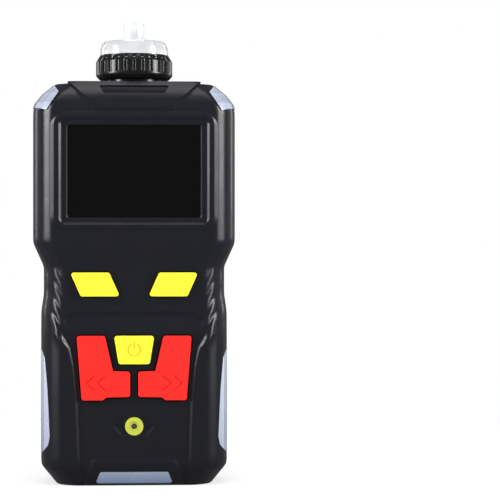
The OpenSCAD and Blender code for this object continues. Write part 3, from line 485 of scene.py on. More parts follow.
def rounded(node, name, soft=0.0, fine=0.0, steps=2, reach=4.0, area=14.0, sharp=48, flat=7):
    """A copy of a CAD node with round edges.

    soft is the radius of the long edges between wide faces that meet at flat to sharp degrees,
    and fine that of the sharper ones; reach is the shortest edge in mm and area the smallest
    face in mm2 that soft edges need.
    """
    mesh = merged(node)
    weight = mesh.edges.layers.float.new("bevel_weight_edge")
    widest = max(soft, fine)
    for edge in mesh.edges:
        if len(edge.link_faces) != 2:
            continue
        bend = math.degrees(edge.calc_face_angle(0))
        near = min(f.calc_area() for f in edge.link_faces) / MM ** 2
        span = edge.calc_length() / MM
        if bend > sharp:
            if fine and span > fine / MM * 1.2:
                edge[weight] = fine / widest
        elif bend > flat and soft and span > reach and near > area:
            edge[weight] = soft / widest
    obj = object_from(mesh, name)
    bevel = obj.modifiers.new("round", "BEVEL")
    bevel.limit_method = "WEIGHT"
    bevel.width = widest
    bevel.segments = steps
    bevel.use_clamp_overlap = True
    bevel.loop_slide = False
    bevel.miter_outer = "MITER_SHARP"
    applied(obj)
    return smooth(obj)


def moulded(node, name, body, look, **rounding):
    """Puts a copy of a CAD node with round edges in its place."""
    return settle(coat(rounded(node, name, **rounding), look), body, look, node)


def shells(node):
    """The lowest and highest corner of each separate solid of a CAD node."""
    mesh = merged(node)
    left = set(mesh.verts)
    found = []
    while left:
        group, queue = [], [left.pop()]
        while queue:
            corner = queue.pop()
            group.append(corner.co.copy())
            for edge in corner.link_edges:
                other = edge.other_vert(corner)
                if other in left:
                    left.remove(other)
                    queue.append(other)
        low = Vector([min(p[i] for p in group) for i in range(3)])
        high = Vector([max(p[i] for p in group) for i in range(3)])
        found.append((low, high))
    mesh.free()
    return sorted(found, key=lambda pair: (round(pair[0].z, 5), round(pair[0].x, 5)))


# ---- Geometry node trees ----
def started(name, **sockets):
    """A tree with named inputs: the tree, its inputs' identifiers and its input node's sockets."""
    tree = bpy.data.node_groups.new(name, "GeometryNodeTree")
    face = tree.interface
    face.new_socket("Geometry", in_out="INPUT", socket_type="NodeSocketGeometry")
    identifiers = {}
    for key, kind in sockets.items():
        title = key.replace("_", " ").capitalize()
        made = face.new_socket(title, in_out="INPUT", socket_type="NodeSocket" + kind)
        identifiers[key] = made.identifier
    face.new_socket("Geometry", in_out="OUTPUT", socket_type="NodeSocketGeometry")
    return tree, identifiers, add(tree, "NodeGroupInput").outputs


def ended(tree, geometry, material):
    """Ends a tree in real geometry with its material set."""
    real = add(tree, "GeometryNodeRealizeInstances", {"Geometry": geometry})
    painted = add(tree, "GeometryNodeSetMaterial", {"Geometry": real, "Material": material})
    add(tree, "NodeGroupOutput", {0: painted})


def grown(obj, tree, identifiers, limit, **values):
    """Runs a tree on an object and leaves plain mesh, smooth up to limit degrees."""
    made = obj.modifiers.new(tree.name, "NODES")
    made.node_group = tree
    for key, value in values.items():
        made[identifiers[key]] = value
    return smooth(outward(applied(obj)), limit)


def knurl_tree():
    """Turns a profile round Z and presses grip slots into its outer wall."""
    columns_a_slot = 12
    steepness = 2.6     # how fast a slot's side falls to its floor
    half_way = 0.25     # keeps a whole row number from being rounded down
    math_kind = "ShaderNodeMath"
    tree, identifiers, given = started(
        "slotted_ring", slots="Int", depth="Float", share="Float", wall="Float", low="Float",
        high="Float", material="Material")
    around = add(tree, math_kind, {0: given["Slots"], 1: columns_a_slot}, operation="MULTIPLY")
    last = add(tree, math_kind, {0: around, 1: 1.0}, operation="ADD")
    rows = add(tree, "GeometryNodeAttributeDomainSize", {"Geometry": given["Geometry"]})
    sheet = add(tree, "GeometryNodeMeshGrid", {
        "Size X": 1.0, "Size Y": 1.0, "Vertices X": last, "Vertices Y": rows})
    # the sheet's columns go round the ring and its rows along the profile
    index = add(tree, "GeometryNodeInputIndex")
    count = add(tree, math_kind, {0: index, 1: half_way}, operation="ADD")
    count = add(tree, math_kind, {0: count, 1: rows}, operation="DIVIDE")
    column = add(tree, math_kind, {0: count}, operation="FLOOR")
    before = add(tree, math_kind, {0: column, 1: rows}, operation="MULTIPLY")
    row = add(tree, math_kind, {0: index, 1: before}, operation="SUBTRACT")
    row = add(tree, math_kind, {0: row}, operation="ROUND")
    spot = add(tree, "GeometryNodeSampleIndex", {
        "Geometry": given["Geometry"], "Value": add(tree, "GeometryNodeInputPosition"),
        "Index": row}, data_type="FLOAT_VECTOR", domain="POINT").outputs["Value"]
    parts = add(tree, "ShaderNodeSeparateXYZ", {0: spot}).outputs
    turn = add(tree, math_kind, {0: column, 1: math.tau}, operation="MULTIPLY")
    turn = add(tree, math_kind, {0: turn, 1: around}, operation="DIVIDE")
    # a slot takes up the share of the pitch where the wave is highest, with steep sides
    phase = add(tree, math_kind, {0: turn, 1: given["Slots"]}, operation="MULTIPLY")
    wave = add(tree, math_kind, {0: phase}, operation="COSINE")
    press = add(tree, math_kind, {0: wave, 1: given["Share"]}, operation="SUBTRACT")
    press = add(tree, math_kind, {0: press, 1: steepness}, operation="MULTIPLY", use_clamp=True)
    for part, limit, test in ((parts["X"], given["Wall"], "GREATER_THAN"),
                              (parts["Z"], given["Low"], "GREATER_THAN"),
                              (parts["Z"], given["High"], "LESS_THAN")):
        within = add(tree, math_kind, {0: part, 1: limit}, operation=test)
        press = add(tree, math_kind, {0: press, 1: within}, operation="MULTIPLY")
    sunk = add(tree, math_kind, {0: press, 1: given["Depth"]}, operation="MULTIPLY")
    radius = add(tree, math_kind, {0: parts["X"], 1: sunk}, operation="SUBTRACT")
    flat = []
    for operation in ("COSINE", "SINE"):
        side = add(tree, math_kind, {0: turn}, operation=operation)
        flat.append(add(tree, math_kind, {0: radius, 1: side}, operation="MULTIPLY"))
    where = add(tree, "ShaderNodeCombineXYZ", {"X": flat[0], "Y": flat[1], "Z": parts["Z"]})
    shaped = add(tree, "GeometryNodeSetPosition", {"Geometry": sheet, "Position": where})
    closed = add(tree, "GeometryNodeMergeByDistance", {"Geometry": shaped, "Distance": 1e-6})
    ended(tree, closed, given["Material"])
    return tree, identifiers


def screw_tree():
    """Sets a cross-recessed pan-head screw, head towards +Y, on every point."""
    waist, crown = 0.93, 0.62                   # radii of the head's two tiers, as shares
    skirt, dome_high, seat = 0.45, 0.55, 0.44   # their heights, and where the upper one starts
    bar_long, bar_deep = 1.24, 1.1              # the recess's bars, as shares of the head
    into_head = -0.499                          # the shank's top lies just inside the head
    math_kind = "ShaderNodeMath"
    tree, identifiers, given = started(
        "cross_head_screws", head_radius="Float", head_height="Float", shank_radius="Float",
        shank_length="Float", recess="Float", turn="Float", material="Material")
    size = {}
    for key, whole, share in (
            ("waist", "Head radius", waist), ("crown", "Head radius", crown),
            ("bar", "Head radius", bar_long), ("skirt", "Head height", skirt),
            ("dome", "Head height", dome_high), ("seat", "Head height", seat),
            ("cut", "Head height", bar_deep), ("down", "Shank length", into_head)):
        size[key] = add(tree, math_kind, {0: given[whole], 1: share}, operation="MULTIPLY")
    rim = add(tree, "GeometryNodeMeshCone", {
        "Vertices": 32, "Radius Top": size["waist"], "Radius Bottom": given["Head radius"],
        "Depth": size["skirt"]})
    dome = add(tree, "GeometryNodeMeshCone", {
        "Vertices": 32, "Radius Top": size["crown"], "Radius Bottom": size["waist"],
        "Depth": size["dome"]})
    dome = add(tree, "GeometryNodeTransform", {
        "Geometry": dome, "Translation": add(tree, "ShaderNodeCombineXYZ", {"Z": size["seat"]})})
    head = add(tree, "GeometryNodeMeshBoolean", operation="UNION", solver="EXACT")
    for part in (rim, dome):
        tree.links.new(part.outputs[0], head.inputs["Mesh 2"])
    # the cross: two bars sunk into the top
    carved = add(tree, "GeometryNodeMeshBoolean", {"Mesh 1": head}, operation="DIFFERENCE",
                 solver="EXACT")
    for angle in (0.0, math.pi / 2):
        block = add(tree, "ShaderNodeCombineXYZ", {
            "X": size["bar"], "Y": given["Recess"], "Z": size["cut"]})
        top = add(tree, "ShaderNodeCombineXYZ", {"Z": given["Head height"]})
        bar = add(tree, "GeometryNodeTransform", {
            "Geometry": add(tree, "GeometryNodeMeshCube", {"Size": block}), "Translation": top,
            "Rotation": (0.0, 0.0, angle)})
        tree.links.new(bar.outputs[0], carved.inputs["Mesh 2"])
    shank = add(tree, "GeometryNodeMeshCylinder", {
        "Vertices": 16, "Radius": given["Shank radius"], "Depth": given["Shank length"]})
    shank = add(tree, "GeometryNodeTransform", {
        "Geometry": shank, "Translation": add(tree, "ShaderNodeCombineXYZ", {"Z": size["down"]})})
    whole = add(tree, "GeometryNodeJoinGeometry")
    for part in (shank, carved):
        tree.links.new(part.outputs[0], whole.inputs[0])
    own = add(tree, "GeometryNodeTransform", {
        "Geometry": whole, "Rotation": add(tree, "ShaderNodeCombineXYZ", {"Z": given["Turn"]})})
    upright = add(tree, "GeometryNodeTransform", {
        "Geometry": own, "Rotation": (-math.pi / 2, 0.0, 0.0)})
    placed = add(tree, "GeometryNodeInstanceOnPoints", {
        "Points": given["Geometry"], "Instance": upright})
    ended(tree, placed, given["Material"])
    return tree, identifiers


def rib_tree():
    """Repeats a half-round rib up a line."""
    tree, identifiers, given = started(
        "finger_ribs", count="Int", pitch="Float", width="Float", radius="Float",
        material="Material")
    origin = add(tree, "GeometryNodeSampleIndex", {
        "Geometry": given["Geometry"], "Value": add(tree, "GeometryNodeInputPosition"),
        "Index": 0}, data_type="FLOAT_VECTOR", domain="POINT").outputs["Value"]
    row = add(tree, "GeometryNodeMeshLine", {
        "Count": given["Count"], "Start Location": origin,
        "Offset": add(tree, "ShaderNodeCombineXYZ", {"Z": given["Pitch"]})})
    rib = add(tree, "GeometryNodeMeshCylinder", {
        "Vertices": 12, "Radius": given["Radius"], "Depth": given["Width"]})
    across = add(tree, "GeometryNodeTransform", {
        "Geometry": rib, "Rotation": (0.0, math.pi / 2, 0.0)})
    placed = add(tree, "GeometryNodeInstanceOnPoints", {"Points": row, "Instance": across})
    ended(tree, placed, given["Material"])
    return tree, identifiers


# ---- Outlines, in mm ----
def mirrored(points):
    return [(-px, pz) for px, pz in reversed(points)]


def offset_outline(points, extra):
    """An outline moved outwards by extra, corner by corner."""
    if not extra:
        return list(points)
    ahead = points[1:] + points[:1]
    area = sum(a[0] * b[1] - b[0] * a[1] for a, b in zip(points, ahead))
    side = 1 if area > 0 else -1
    out = []
    for before, here, after in zip(points[-1:] + points[:-1], points, ahead):
        n = []
        for p, q in ((before, here), (here, after)):
            size = math.hypot(q[0] - p[0], q[1] - p[1])
            n.append((side * (q[1] - p[1]) / size, -side * (q[0] - p[0]) / size))
        # a sharp corner moves out by no more than twice what a straight side does
        dot = max(1 + n[0][0] * n[1][0] + n[0][1] * n[1][1], 0.5)
        out.append((here[0] + extra * (n[0][0] + n[1][0]) / dot,
                    here[1] + extra * (n[0][1] + n[1][1]) / dot))
    return out


def eased(points, r, steps=5):
    """An outline with its corners rounded by r, or by less beside a short side."""
    out = []
    for before, here, after in zip(points[-1:] + points[:-1], points, points[1:] + points[:1]):
        corner = Vector(here)
        u, v = Vector(before) - corner, Vector(after) - corner
        reach = min(r / math.tan(u.angle(v) / 2), u.length * 0.45, v.length * 0.45)
        start, end = corner + u.normalized() * reach, corner + v.normalized() * reach
        for i in range(steps + 1):
            t = i / steps
            spot = start * (1 - t) ** 2 + corner * (2 * t * (1 - t)) + end * t ** 2
            out.append((spot.x, spot.y))
    return out


def smoothstep(value, start, end):
    t = np.clip((value - start) / (end - start), 0, 1)
    return t * t * (3 - 2 * t)


def off_round_box(x, z, mid_z, half_w, half_h, r):
    """Signed distance to a rectangle on the middle line with round corners, negative inside."""
    qx = np.abs(x) - half_w + r
    qz = np.abs(z - mid_z) - half_h + r
    outside = np.hypot(np.maximum(qx, 0), np.maximum(qz, 0))
    return outside + np.minimum(np.maximum(qx, qz), 0) - r


def off_path(x, z, points):
    """Distance to an open line of points."""
    best = np.full(x.shape, np.inf)
    for (ax, az), (bx, bz) in zip(points, points[1:]):
        ex, ez = bx - ax, bz - az
        t = np.clip(((x - ax) * ex + (z - az) * ez) / (ex * ex + ez * ez), 0, 1)
        best = np.minimum(best, np.hypot(x - ax - ex * t, z - az - ez * t))
    return best


def off_polygon(x, z, points):
    """Signed distance to a polygon, negative inside."""
    ring = list(points) + [points[0]]
    inside = np.zeros(x.shape, bool)
    for (ax, az), (bx, bz) in zip(ring, ring[1:]):
        if az != bz:
            crosses = (az > z) != (bz > z)
            inside ^= crosses & (x < ax + (bx - ax) * (z - az) / (bz - az))
    best = off_path(x, z, ring)
    return np.where(inside, -best, best)


def blurred(values, sigma, axis):
    """Gaussian blur along one axis that keeps the end rows and straight runs."""
    reach = int(3 * sigma + 1)
    kernel = np.exp(-0.5 * (np.arange(-reach, reach + 1) / sigma) ** 2)
    kernel /= kernel.sum()
    moved = np.moveaxis(values, axis, 0)
    first = 2 * moved[:1] - moved[reach:0:-1]
    last = 2 * moved[-1:] - moved[-2:-reach - 2:-1]
    padded = np.concatenate([first, moved, last])
    out = sum(k * padded[i:i + len(moved)] for i, k in enumerate(kernel))
    return np.moveaxis(out, 0, axis)


# ---- The front cover's moulded surface, in mm ----
# Outline of the case: height, half width, depth in front of the joint plane, depth behind it
LEVELS = ((0, 33.2, 18.8, 18.5), (7.8, 39.4, 23.6, 24.6), (11, 39.4, 24.2, 25),
          (64, 39.4, 24.2, 25), (72.5, 39.4, 22.8, 25), (80, 38.3, 22.8, 25),
          (91.5, 38.3, 22.8, 25), (101.5, 42.8, 24.2, 25), (157.4, 42.8, 24.2, 25),
          (160.2, 41.9, 23.6, 24.4), (164.4, 38.75, 20.9, 21.3), (168.5, 33.9, 16.0, 16.5))
CASE_TOP = 168.5
WALL = 2.4
CAVITY_TOP = 165.5
WINDOW_Z, WINDOW_W, WINDOW_H = 131.3, 27.6, 19.25      # middle and half sizes of the window
CROWN = ((-29.4, 170.4), (-17.5, 159.8), (-16, 157.5), (16, 157.5), (17.5, 159.8), (29.4, 170.4))
CROWN_LOW = 150     # the crown's blocks start here, below its edge
LABEL = ((-14.8, 167.5), (14.8, 167.5), (12.6, 164.0), (-12.6, 164.0))
SOFT_KEY = ((26.6, 89.1), (10.4, 89.1), (5.95, 79.2), (22.2, 79.2))
POWER_KEY = ((-8.4, 62.8), (8.4, 62.8), (6.45, 51), (-6.45, 51))
ARROW_KEY = ((23.9, 62.8), (12.2, 62.8), (8.8, 48.1), (1.7, 47.9), (1.7, 37.4), (11.6, 37.2),
             (13, 36), (21.8, 36))
CORNER_LENS = ((37.9, 172.9), (33.9, 168.5), (31.4, 164.8), (36.5, 156.9), (42.5, 158.1),
               (46.8, 159.0))
SIDE_LENS = ((43.4, 61), (39.4, 57.5), (37.3, 53.6), (36.1, 40.5), (35.1, 20.5), (35.8, 17),
             (39.6, 12.2), (43.4, 9))
BASE_LENS = ((-16.3, 0.8), (-14.2, 6), (14.2, 6), (16.3, 0.8))
LENS_SEAT = 1.4     # how deep the lenses lie in the case
SOUNDER_Z, SOUNDER_HOLE = 25, 3.9
PANEL_SIDE = ((-23.5, 72.3), (-35.1, 67.5), (-27.2, 57.8), (-25.4, 50.2), (-24.4, 40.5),
              (-23.3, 7.3), (-22.8, -3))
PANEL_FOOT = ((-21.8, -3), (-17, 10.5), (17, 10.5), (21.8, -3))
LOZENGE = ((-8.5, 25), (-5.4, 28.8), (5.4, 28.8), (8.5, 25), (5.4, 21.2), (-5.4, 21.2))
NOTCH = ((-5.4, 92.2), (-4.6, 93.6), (4.6, 93.6), (5.4, 92.2))
FOLD = ((41.5, 93.6), (38.6, 91.2), (35.2, 88.0), (32.7, 84.9), (31.2, 81.6), (29.6, 78.6),
        (27.8, 76.2))
FOLD_PITCH = 7.2
FOLD_DEPTHS = (0.25, 0.3, 0.4, 0.6)     # from the top fold, one pitch above FOLD, down


def window_frame(x, z):
    """The frame round the window: a quick rise outside, a lip, then the bezel's floor."""
    out = off_round_box(x, z, WINDOW_Z + 0.2, 34.5, 24.9, 6.2)
    rise = 0.62 * smoothstep(-out, 0.0, 1.1) + 0.13 * smoothstep(-out, 0.9, 2.6)
    bezel = off_round_box(x, z, WINDOW_Z, WINDOW_W + 3.7, WINDOW_H + 3.1, 2.4)
    return rise - 0.9 * np.clip(-bezel / 1.1, 0, 1)


def waist_folds(x, z):
    """Grip folds on each side of the waist: a sharp valley under a swelling."""
    ax = np.abs(x)
    fade = smoothstep(ax, 26.5, 30.5) * (1 - 0.6 * smoothstep(ax, 32.2, 34.5))
    height = np.zeros(x.shape)
    for i, deep in enumerate(FOLD_DEPTHS, -1):
        path = [(px, pz - i * FOLD_PITCH) for px, pz in FOLD]
        valley = off_path(ax, z, path)
        swell = off_path(ax, z, [(px + 0.9, pz - 2.9) for px, pz in path])
        height += deep * fade * (np.exp(-(swell / 2.1) ** 2) - np.exp(-(valley / 0.9) ** 2))
    return height


def lower_panel(x, z):
    """The panel sunk below the bumpers, with a soft ridge on its edge, but not round the foot."""
    ax = np.abs(x)
    d = off_polygon(x, z, [*PANEL_SIDE, *mirrored(PANEL_SIDE)])
    d = np.maximum(d, -off_polygon(x, z, PANEL_FOOT))
    wing = 1 - smoothstep(ax, 25, 32) * smoothstep(z, 61, 66)
    ridge = 0.16 * np.exp(-((d - 1.0) / 0.8) ** 2) * smoothstep(z, 12, 40)
    return wing * (ridge - 0.8 * np.clip((0.35 - d) / 1.3, 0, 1))


def front_relief(x, z):
    """How far the front stands proud of the plain case at a place."""
    crown_foot = 0.5 * np.clip(1 - off_polygon(x, z, CROWN) / 0.9, 0, 1)
    round_sounder = 0.55 * smoothstep(-off_polygon(x, z, LOZENGE), -0.3, 0.6)
    above_keys = 0.16 * np.exp(-(off_path(x, z, NOTCH) / 0.45) ** 2)
    return (window_frame(x, z) + waist_folds(x, z) + lower_panel(x, z) + crown_foot
            - round_sounder - above_keys)


def front_grid(grow=0.0, lift=0.0, relief=True, low=0.0, high=CASE_TOP, column=0.42, row=0.55,
               seam=0.0):
    """Rows and columns of points over the front half of the case, from seam to seam.

    grow moves them out of the case and lift moves them up; column and row are their spacing.
    """
    inset = 8.6         # from the case's side to where its front face is flat
    deep_case = 44      # a shallower case has a smaller round between its side and its front
    groove = (0.3, 0.25)    # width and depth of the groove along the joint between the covers
    heights, wide, fore, aft = np.array(LEVELS, float).T
    z = np.linspace(low, high, int(round((high - low) / row)) + 1)
    w = np.interp(z, heights, wide) + grow
    f = -np.interp(z, heights, fore) - grow
    r = np.interp(z, heights, aft) + grow
    k = np.minimum(1, (r - f) / deep_case)
    corners = [(w, np.zeros_like(z)), (w, f + 16 * k), (w - 1.6, f + 7.5 * k), (w - 4.6, f + 2.6),
               (w - inset, f)]
    half = []
    for (a, b), spacing in zip(zip(corners, corners[1:]), (1.0, 0.8, 0.5, 0.45)):
        size = float(np.median(np.hypot(b[0] - a[0], b[1] - a[1])))
        for t in np.linspace(0, 1, max(2, int(size / spacing)), endpoint=False):
            half.append((a[0] + (b[0] - a[0]) * t, a[1] + (b[1] - a[1]) * t))
    flat = int(round(2 * float(np.median(w - inset)) / column))
    face = [((w - inset) * t, f) for t in np.linspace(1, -1, flat + 1)]
    columns = half + face + [(-a, b) for a, b in reversed(half)]
    x = np.stack([a for a, b in columns], 1)
    y = np.stack([b for a, b in columns], 1)
    zz = np.repeat(z[:, None], x.shape[1], 1)
    for values in (x, y):
        values[:] = blurred(values, 2.2, 1)
        values[:] = blurred(values, 1.8, 0)
    y[:, 0] = y[:, -1] = seam
    if relief:
        y[:, 1] = y[:, -2] = -groove[0]
        x[:, 0] -= groove[1]
        x[:, -1] += groove[1]
        edge = w[:, None] - np.abs(x)
        y -= front_relief(x, zz) * smoothstep(edge, 0.3, 2.0)
    return x, y, zz + lift


def sheet_solid(name, x, y, z):
    """Closes a grid of rows and columns, whose ends lie on one plane, into a solid."""
    rows, cols = x.shape
    last = cols - 1
    i, j = np.meshgrid(np.arange(rows - 1), np.arange(last), indexing="ij")
    a = (i * cols + j).ravel()
    faces = np.stack([a, a + cols, a + cols + 1, a + 1], 1).tolist()
    faces += [[i * cols, i * cols + last, (i + 1) * cols + last, (i + 1) * cols]
              for i in range(rows - 1)]
    for base, turned in ((0, False), ((rows - 1) * cols, True)):
        for j in range(last // 2):
            face = [base + j, base + j + 1, base + last - j - 1, base + last - j]
            face = list(dict.fromkeys(face))
            if len(face) > 2:
                faces.append(face[::-1] if turned else face)
    spots = np.stack([x, y, z], -1).reshape(-1, 3) * MM
    return outward(from_points(name, spots.tolist(), faces))


def plain_half(name, grow, lift=0.0, low=0.0, high=CASE_TOP, column=1.5, row=1.2, seam=1.0):
    """The front half of the case without its relief, grown or shrunk, as a coarse solid."""
    return sheet_solid(name, *front_grid(grow, lift, False, low, high, column, row, seam))


def prism(name, points, y0, y1, flare=0.0, face=None):
    """A straight cutter along Y with an outline in X and Z; from the face forwards it widens by
    flare, which leaves a round-looking chamfer round a cut."""
    rings = [(y1, 0), (y0, 0)]
    if flare:
        rings = [(y1, 0), (face + flare, 0), (face + flare * 0.35, flare * 0.3), (face, flare),
                 (y0, flare + (face - y0))]
    count = len(points)
    verts = [(px * MM, y * MM, pz * MM)
             for y, extra in rings for px, pz in offset_outline(points, extra)]
    front = (len(rings) - 1) * count
    faces = [list(range(count)), list(range(front, front + count))[::-1]]
    for start in range(0, front, count):
        for i in range(count):
            a, b = start + i, start + (i + 1) % count
            faces.append([a, b, b + count, a + count])
    return outward(from_points(name, verts, faces))


def cut(obj, tools, operation="DIFFERENCE"):
    """Cuts, joins or trims a closed solid with others, one after another, and removes them."""
    for tool in tools:
        change = obj.modifiers.new("cut", "BOOLEAN")
        change.operation = operation
        change.solver = "MANIFOLD"
        change.object = tool
    applied(obj)
    for tool in tools:
        bpy.data.objects.remove(tool)
    return obj


# The cutters run from in front of the cover to behind its wall
CUT_FRONT, CUT_BACK = -30, -15
BLOCK_FRONT = -60


def crown_steps():
    """The raised crown, as three blocks, each lower and wider than the one before."""
    tall, rise = 0.6, 0.9
    steps = []
    for grow, inset in ((tall, 0.45), (0.45, 0.15), (0.2, 0.0)):
        step = plain_half("crown", grow, rise - (tall - grow) * 0.5, CROWN_LOW, CASE_TOP, 1.2,
                          0.8, 0.0)
        outline = offset_outline(CROWN, -inset)
        steps.append(cut(step, [prism("crown_outline", outline, BLOCK_FRONT, 0)], "INTERSECT"))
    return steps


def label_recess():
    """The bare recess in the crown, with a floor that follows the case."""
    recess = prism("label", eased(LABEL, 0.8), BLOCK_FRONT, -3)
    return cut(recess, [plain_half("label_floor", -3.2, 3.9, CROWN_LOW, CASE_TOP, 1.2, 0.8)])


def window_openings():
    """The window's opening and the wider seat behind it, where the pane lies."""
    side, low, high = WINDOW_W, WINDOW_Z - WINDOW_H, WINDOW_Z + WINDOW_H
    outline = eased([(-side, low), (side, low), (side, high), (-side, high)], 1.0)
    return [prism("window", outline, CUT_FRONT, CUT_BACK, 0.55, -24.0),
            prism("seat", offset_outline(outline, 1.5), -22.9, CUT_BACK)]


def key_openings():
    """A hole with a soft edge round each key and round the sounder."""
    gap, flare = 0.3, 0.25
    soft, power, arrow = eased(SOFT_KEY, 1.0), eased(POWER_KEY, 1.2), eased(ARROW_KEY, 1.0)
    holes = [prism("key_hole", offset_outline(points, gap), CUT_FRONT, CUT_BACK, flare, face)
             for points, face in ((soft, -22.8), (mirrored(soft), -22.8), (power, -23.4),
                                  (arrow, -23.4), (mirrored(arrow), -23.4))]
    sides = 48
    ring = [(SOUNDER_HOLE * math.cos(math.tau * i / sides),
             SOUNDER_Z + SOUNDER_HOLE * math.sin(math.tau * i / sides)) for i in range(sides)]
    return holes + [prism("sounder_hole", ring, CUT_FRONT, CUT_BACK, flare, -22.85)]


def lens_pockets():
    """What the case loses in front of each lens: all that lies over its seat."""
    pockets = []
    for points, back in ((CORNER_LENS, -4), (mirrored(CORNER_LENS), -4), (SIDE_LENS, -8),
                         (mirrored(SIDE_LENS), -8), (BASE_LENS, -2)):
        block = prism("lens_pocket", points, BLOCK_FRONT, back)
        pockets.append(cut(block, [plain_half("lens_seat", -LENS_SEAT)]))
    return pockets


def neck_bore():
    """The round hole in the case's top that the neck stands in."""
    radius, tall = 11.9 * MM, 30 * MM
    mesh = bmesh.new()
    bmesh.ops.create_cone(mesh, cap_ends=True, segments=64, radius1=radius, radius2=radius,
                          depth=tall, matrix=Matrix.Translation((0, 0, CASE_TOP * MM)))
    return object_from(mesh, "neck_bore")


def front_moulding():
    """The front cover: a fine moulded skin, its crown, and the openings through it."""
    cover = sheet_solid("front_cover_moulding", *front_grid())
    for step in crown_steps():
        cut(cover, [step], "UNION")
    hollow = plain_half("cavity", -WALL, 0.0, WALL, CAVITY_TOP)
    cut(cover, [label_recess(), *window_openings(), *key_openings(), *lens_pockets(), hollow,
                neck_bore()])
    return smooth(cover, 28)


# ---- The pieces, one operator for each group ----
class Covers(bpy.types.Operator):
    """Front and rear covers with moulded, rounded edges, and the seal between them"""

    bl_idname = "detector.covers"
    bl_label = "Covers"

    def execute(self, context):
        settle(coat(front_moulding(), "case_plastic"), "case", "case_plastic", "front_cover")
        moulded("rear_cover", "rear_cover_moulding", "case", "case_plastic",
                soft=sizes().soft_edge, fine=sizes().fine_edge, steps=3, sharp=72)
        dress(case_gasket="black_rubber")
        return {"FINISHED"}


class Display(bpy.types.Operator):
    """The glossy pane, its gasket and the display behind it"""

    bl_idname = "detector.display"
    bl_label = "Display"

    def execute(self, context):
        moulded("display_window", "display_pane", "case", "window", fine=0.1 * MM)
        dress(display_gasket="black_rubber", display_module="display_metal")
        return {"FINISHED"}


class Keys(bpy.types.Operator):
    """The five keys with their rounded faces, the membrane and the switches"""

    bl_idname = "detector.keys"
    bl_label = "Keys"

    def execute(self, context):
        for node, body, look in (
                ("soft_key_left", "soft_left", "soft_key"),
                ("soft_key_right", "soft_right", "soft_key"),
                ("power_key", "power", "power_key"),
                ("back_key", "back", "arrow_key"), ("forward_key", "forward", "arrow_key")):
            moulded(node, node + "_cap", body, look, fine=sizes().key_edge, steps=3)
        dress(key_membrane="silicone", key_switches="component")
        return {"FINISHED"}


class Lenses(bpy.types.Operator):
    """The five frosted lenses, the alarm lights behind them and the sounder's grommet"""

    bl_idname = "detector.lenses"
    bl_label = "Lenses and sounder"

    def execute(self, context):
        for node, look in (
                ("corner_lens_left", "lens"), ("corner_lens_right", "lens"),
                ("side_lens_left", "side_lens"), ("side_lens_right", "side_lens"),
                ("base_lens", "base_lens")):
            moulded(node, node + "_cover", "case", look, soft=0.6 * MM, fine=0.3 * MM, steps=3,
                    reach=2, area=4)
        moulded("sounder_grommet", "sounder_ring", "case", "grommet", fine=0.25 * MM, steps=3)
        dress(alarm_lights="led", sounder="sensor_can")
        return {"FINISHED"}


def nut_profile(r, z0, z1):
    """Half the knurled nut's section as points in X and Z, in mm, round from its foot."""
    shoulder, thread_bore, neck_bore_r = 6.4, 14.8, 12.5
    lip = 1.5           # height of the lip that holds the filter
    rise, fall, rows = 2.1, 2.8, 14     # the rounds below and above the wall, and its rows
    wall = z1 - z0 - rise - fall
    outer = [(r - 2.2, z0), (r - 1.4, z0 + 0.35), (r - 0.35, z0 + 1.5)]
    outer += [(r, z0 + rise + i * wall / rows) for i in range(rows)]
    outer += [(r, z1 - 2.9), (r - 0.35, z1 - 2.3), (r - 1.3, z1 - 0.7), (r - 1.9, z1 - 0.15),
              (r - 2.3, z1)]
    top = [v.co for v in NODES["lock_nut"].data.vertices if v.co.z / MM > z1 - 0.05]
    mouth = min(round(math.hypot(spot.x, spot.y) / MM, 2) for spot in top)
    inner = [(mouth, z1), (mouth, z1 - lip), (thread_bore, z1 - lip),
             (thread_bore, z0 + shoulder), (neck_bore_r, z0 + shoulder), (neck_bore_r, z0)]
    return outer + inner + [outer[0]]


class Inlet(bpy.types.Operator):
    """The knurled nut on its neck, the clear filter housing and the white filter"""

    bl_idname = "detector.inlet"
    bl_label = "Inlet"

    def execute(self, context):
        low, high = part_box("lock_nut")
        r, z0, z1 = high.x / MM, low.z / MM, high.z / MM
        profile = from_points(
            "knurled_nut", [(x * MM, 0, z * MM) for x, z in nut_profile(r, z0, z1)])
        nut = grown(
            profile, *knurl_tree(), 40, slots=sizes().nut_slots, depth=0.62 * MM, share=0.2,
            wall=(r - 1.45) * MM, low=(z0 + 3.3) * MM, high=z1 * MM,
            material=PALETTE["neck_plastic"])
        settle(nut, "nut", "neck_plastic", "lock_nut")
        moulded("inlet_neck", "inlet_collar", "case", "neck_plastic", fine=0.15 * MM)
        dress(filter_housing="clear_plastic", filter_disc="membrane", filter_ring="black_rubber",
              inlet_hose="tube", pump="pump_plastic", pump_hose="tube")
        return {"FINISHED"}


class Clip(bpy.types.Operator):
    """The belt clip: base plate, lever, pin and spring"""

    bl_idname = "detector.clip"
    bl_label = "Belt clip"

    def execute(self, context):
        moulded("clip_lever", "clip_lever_moulding", "clip", "clip_plastic", soft=0.8 * MM,
                fine=sizes().fine_edge)
        moulded("clip_plate", "clip_base_plate", "case", "clip_plastic", fine=sizes().fine_edge)
        dress(clip_pin="screw_steel", clip_spring="spring_steel")
        return {"FINISHED"}


class Back(bpy.types.Operator):
    """Plugs, charging socket and lanyard bar on the sloping top of the back"""

    bl_idname = "detector.back"
    bl_label = "Back fittings"

    def execute(self, context):
        for side in ("left", "right"):
            moulded("screw_plug_" + side, "plug_" + side, "case", "black_rubber", fine=0.2 * MM)
        dress(charging_socket="socket_steel", lanyard_bar="screw_steel")
        return {"FINISHED"}


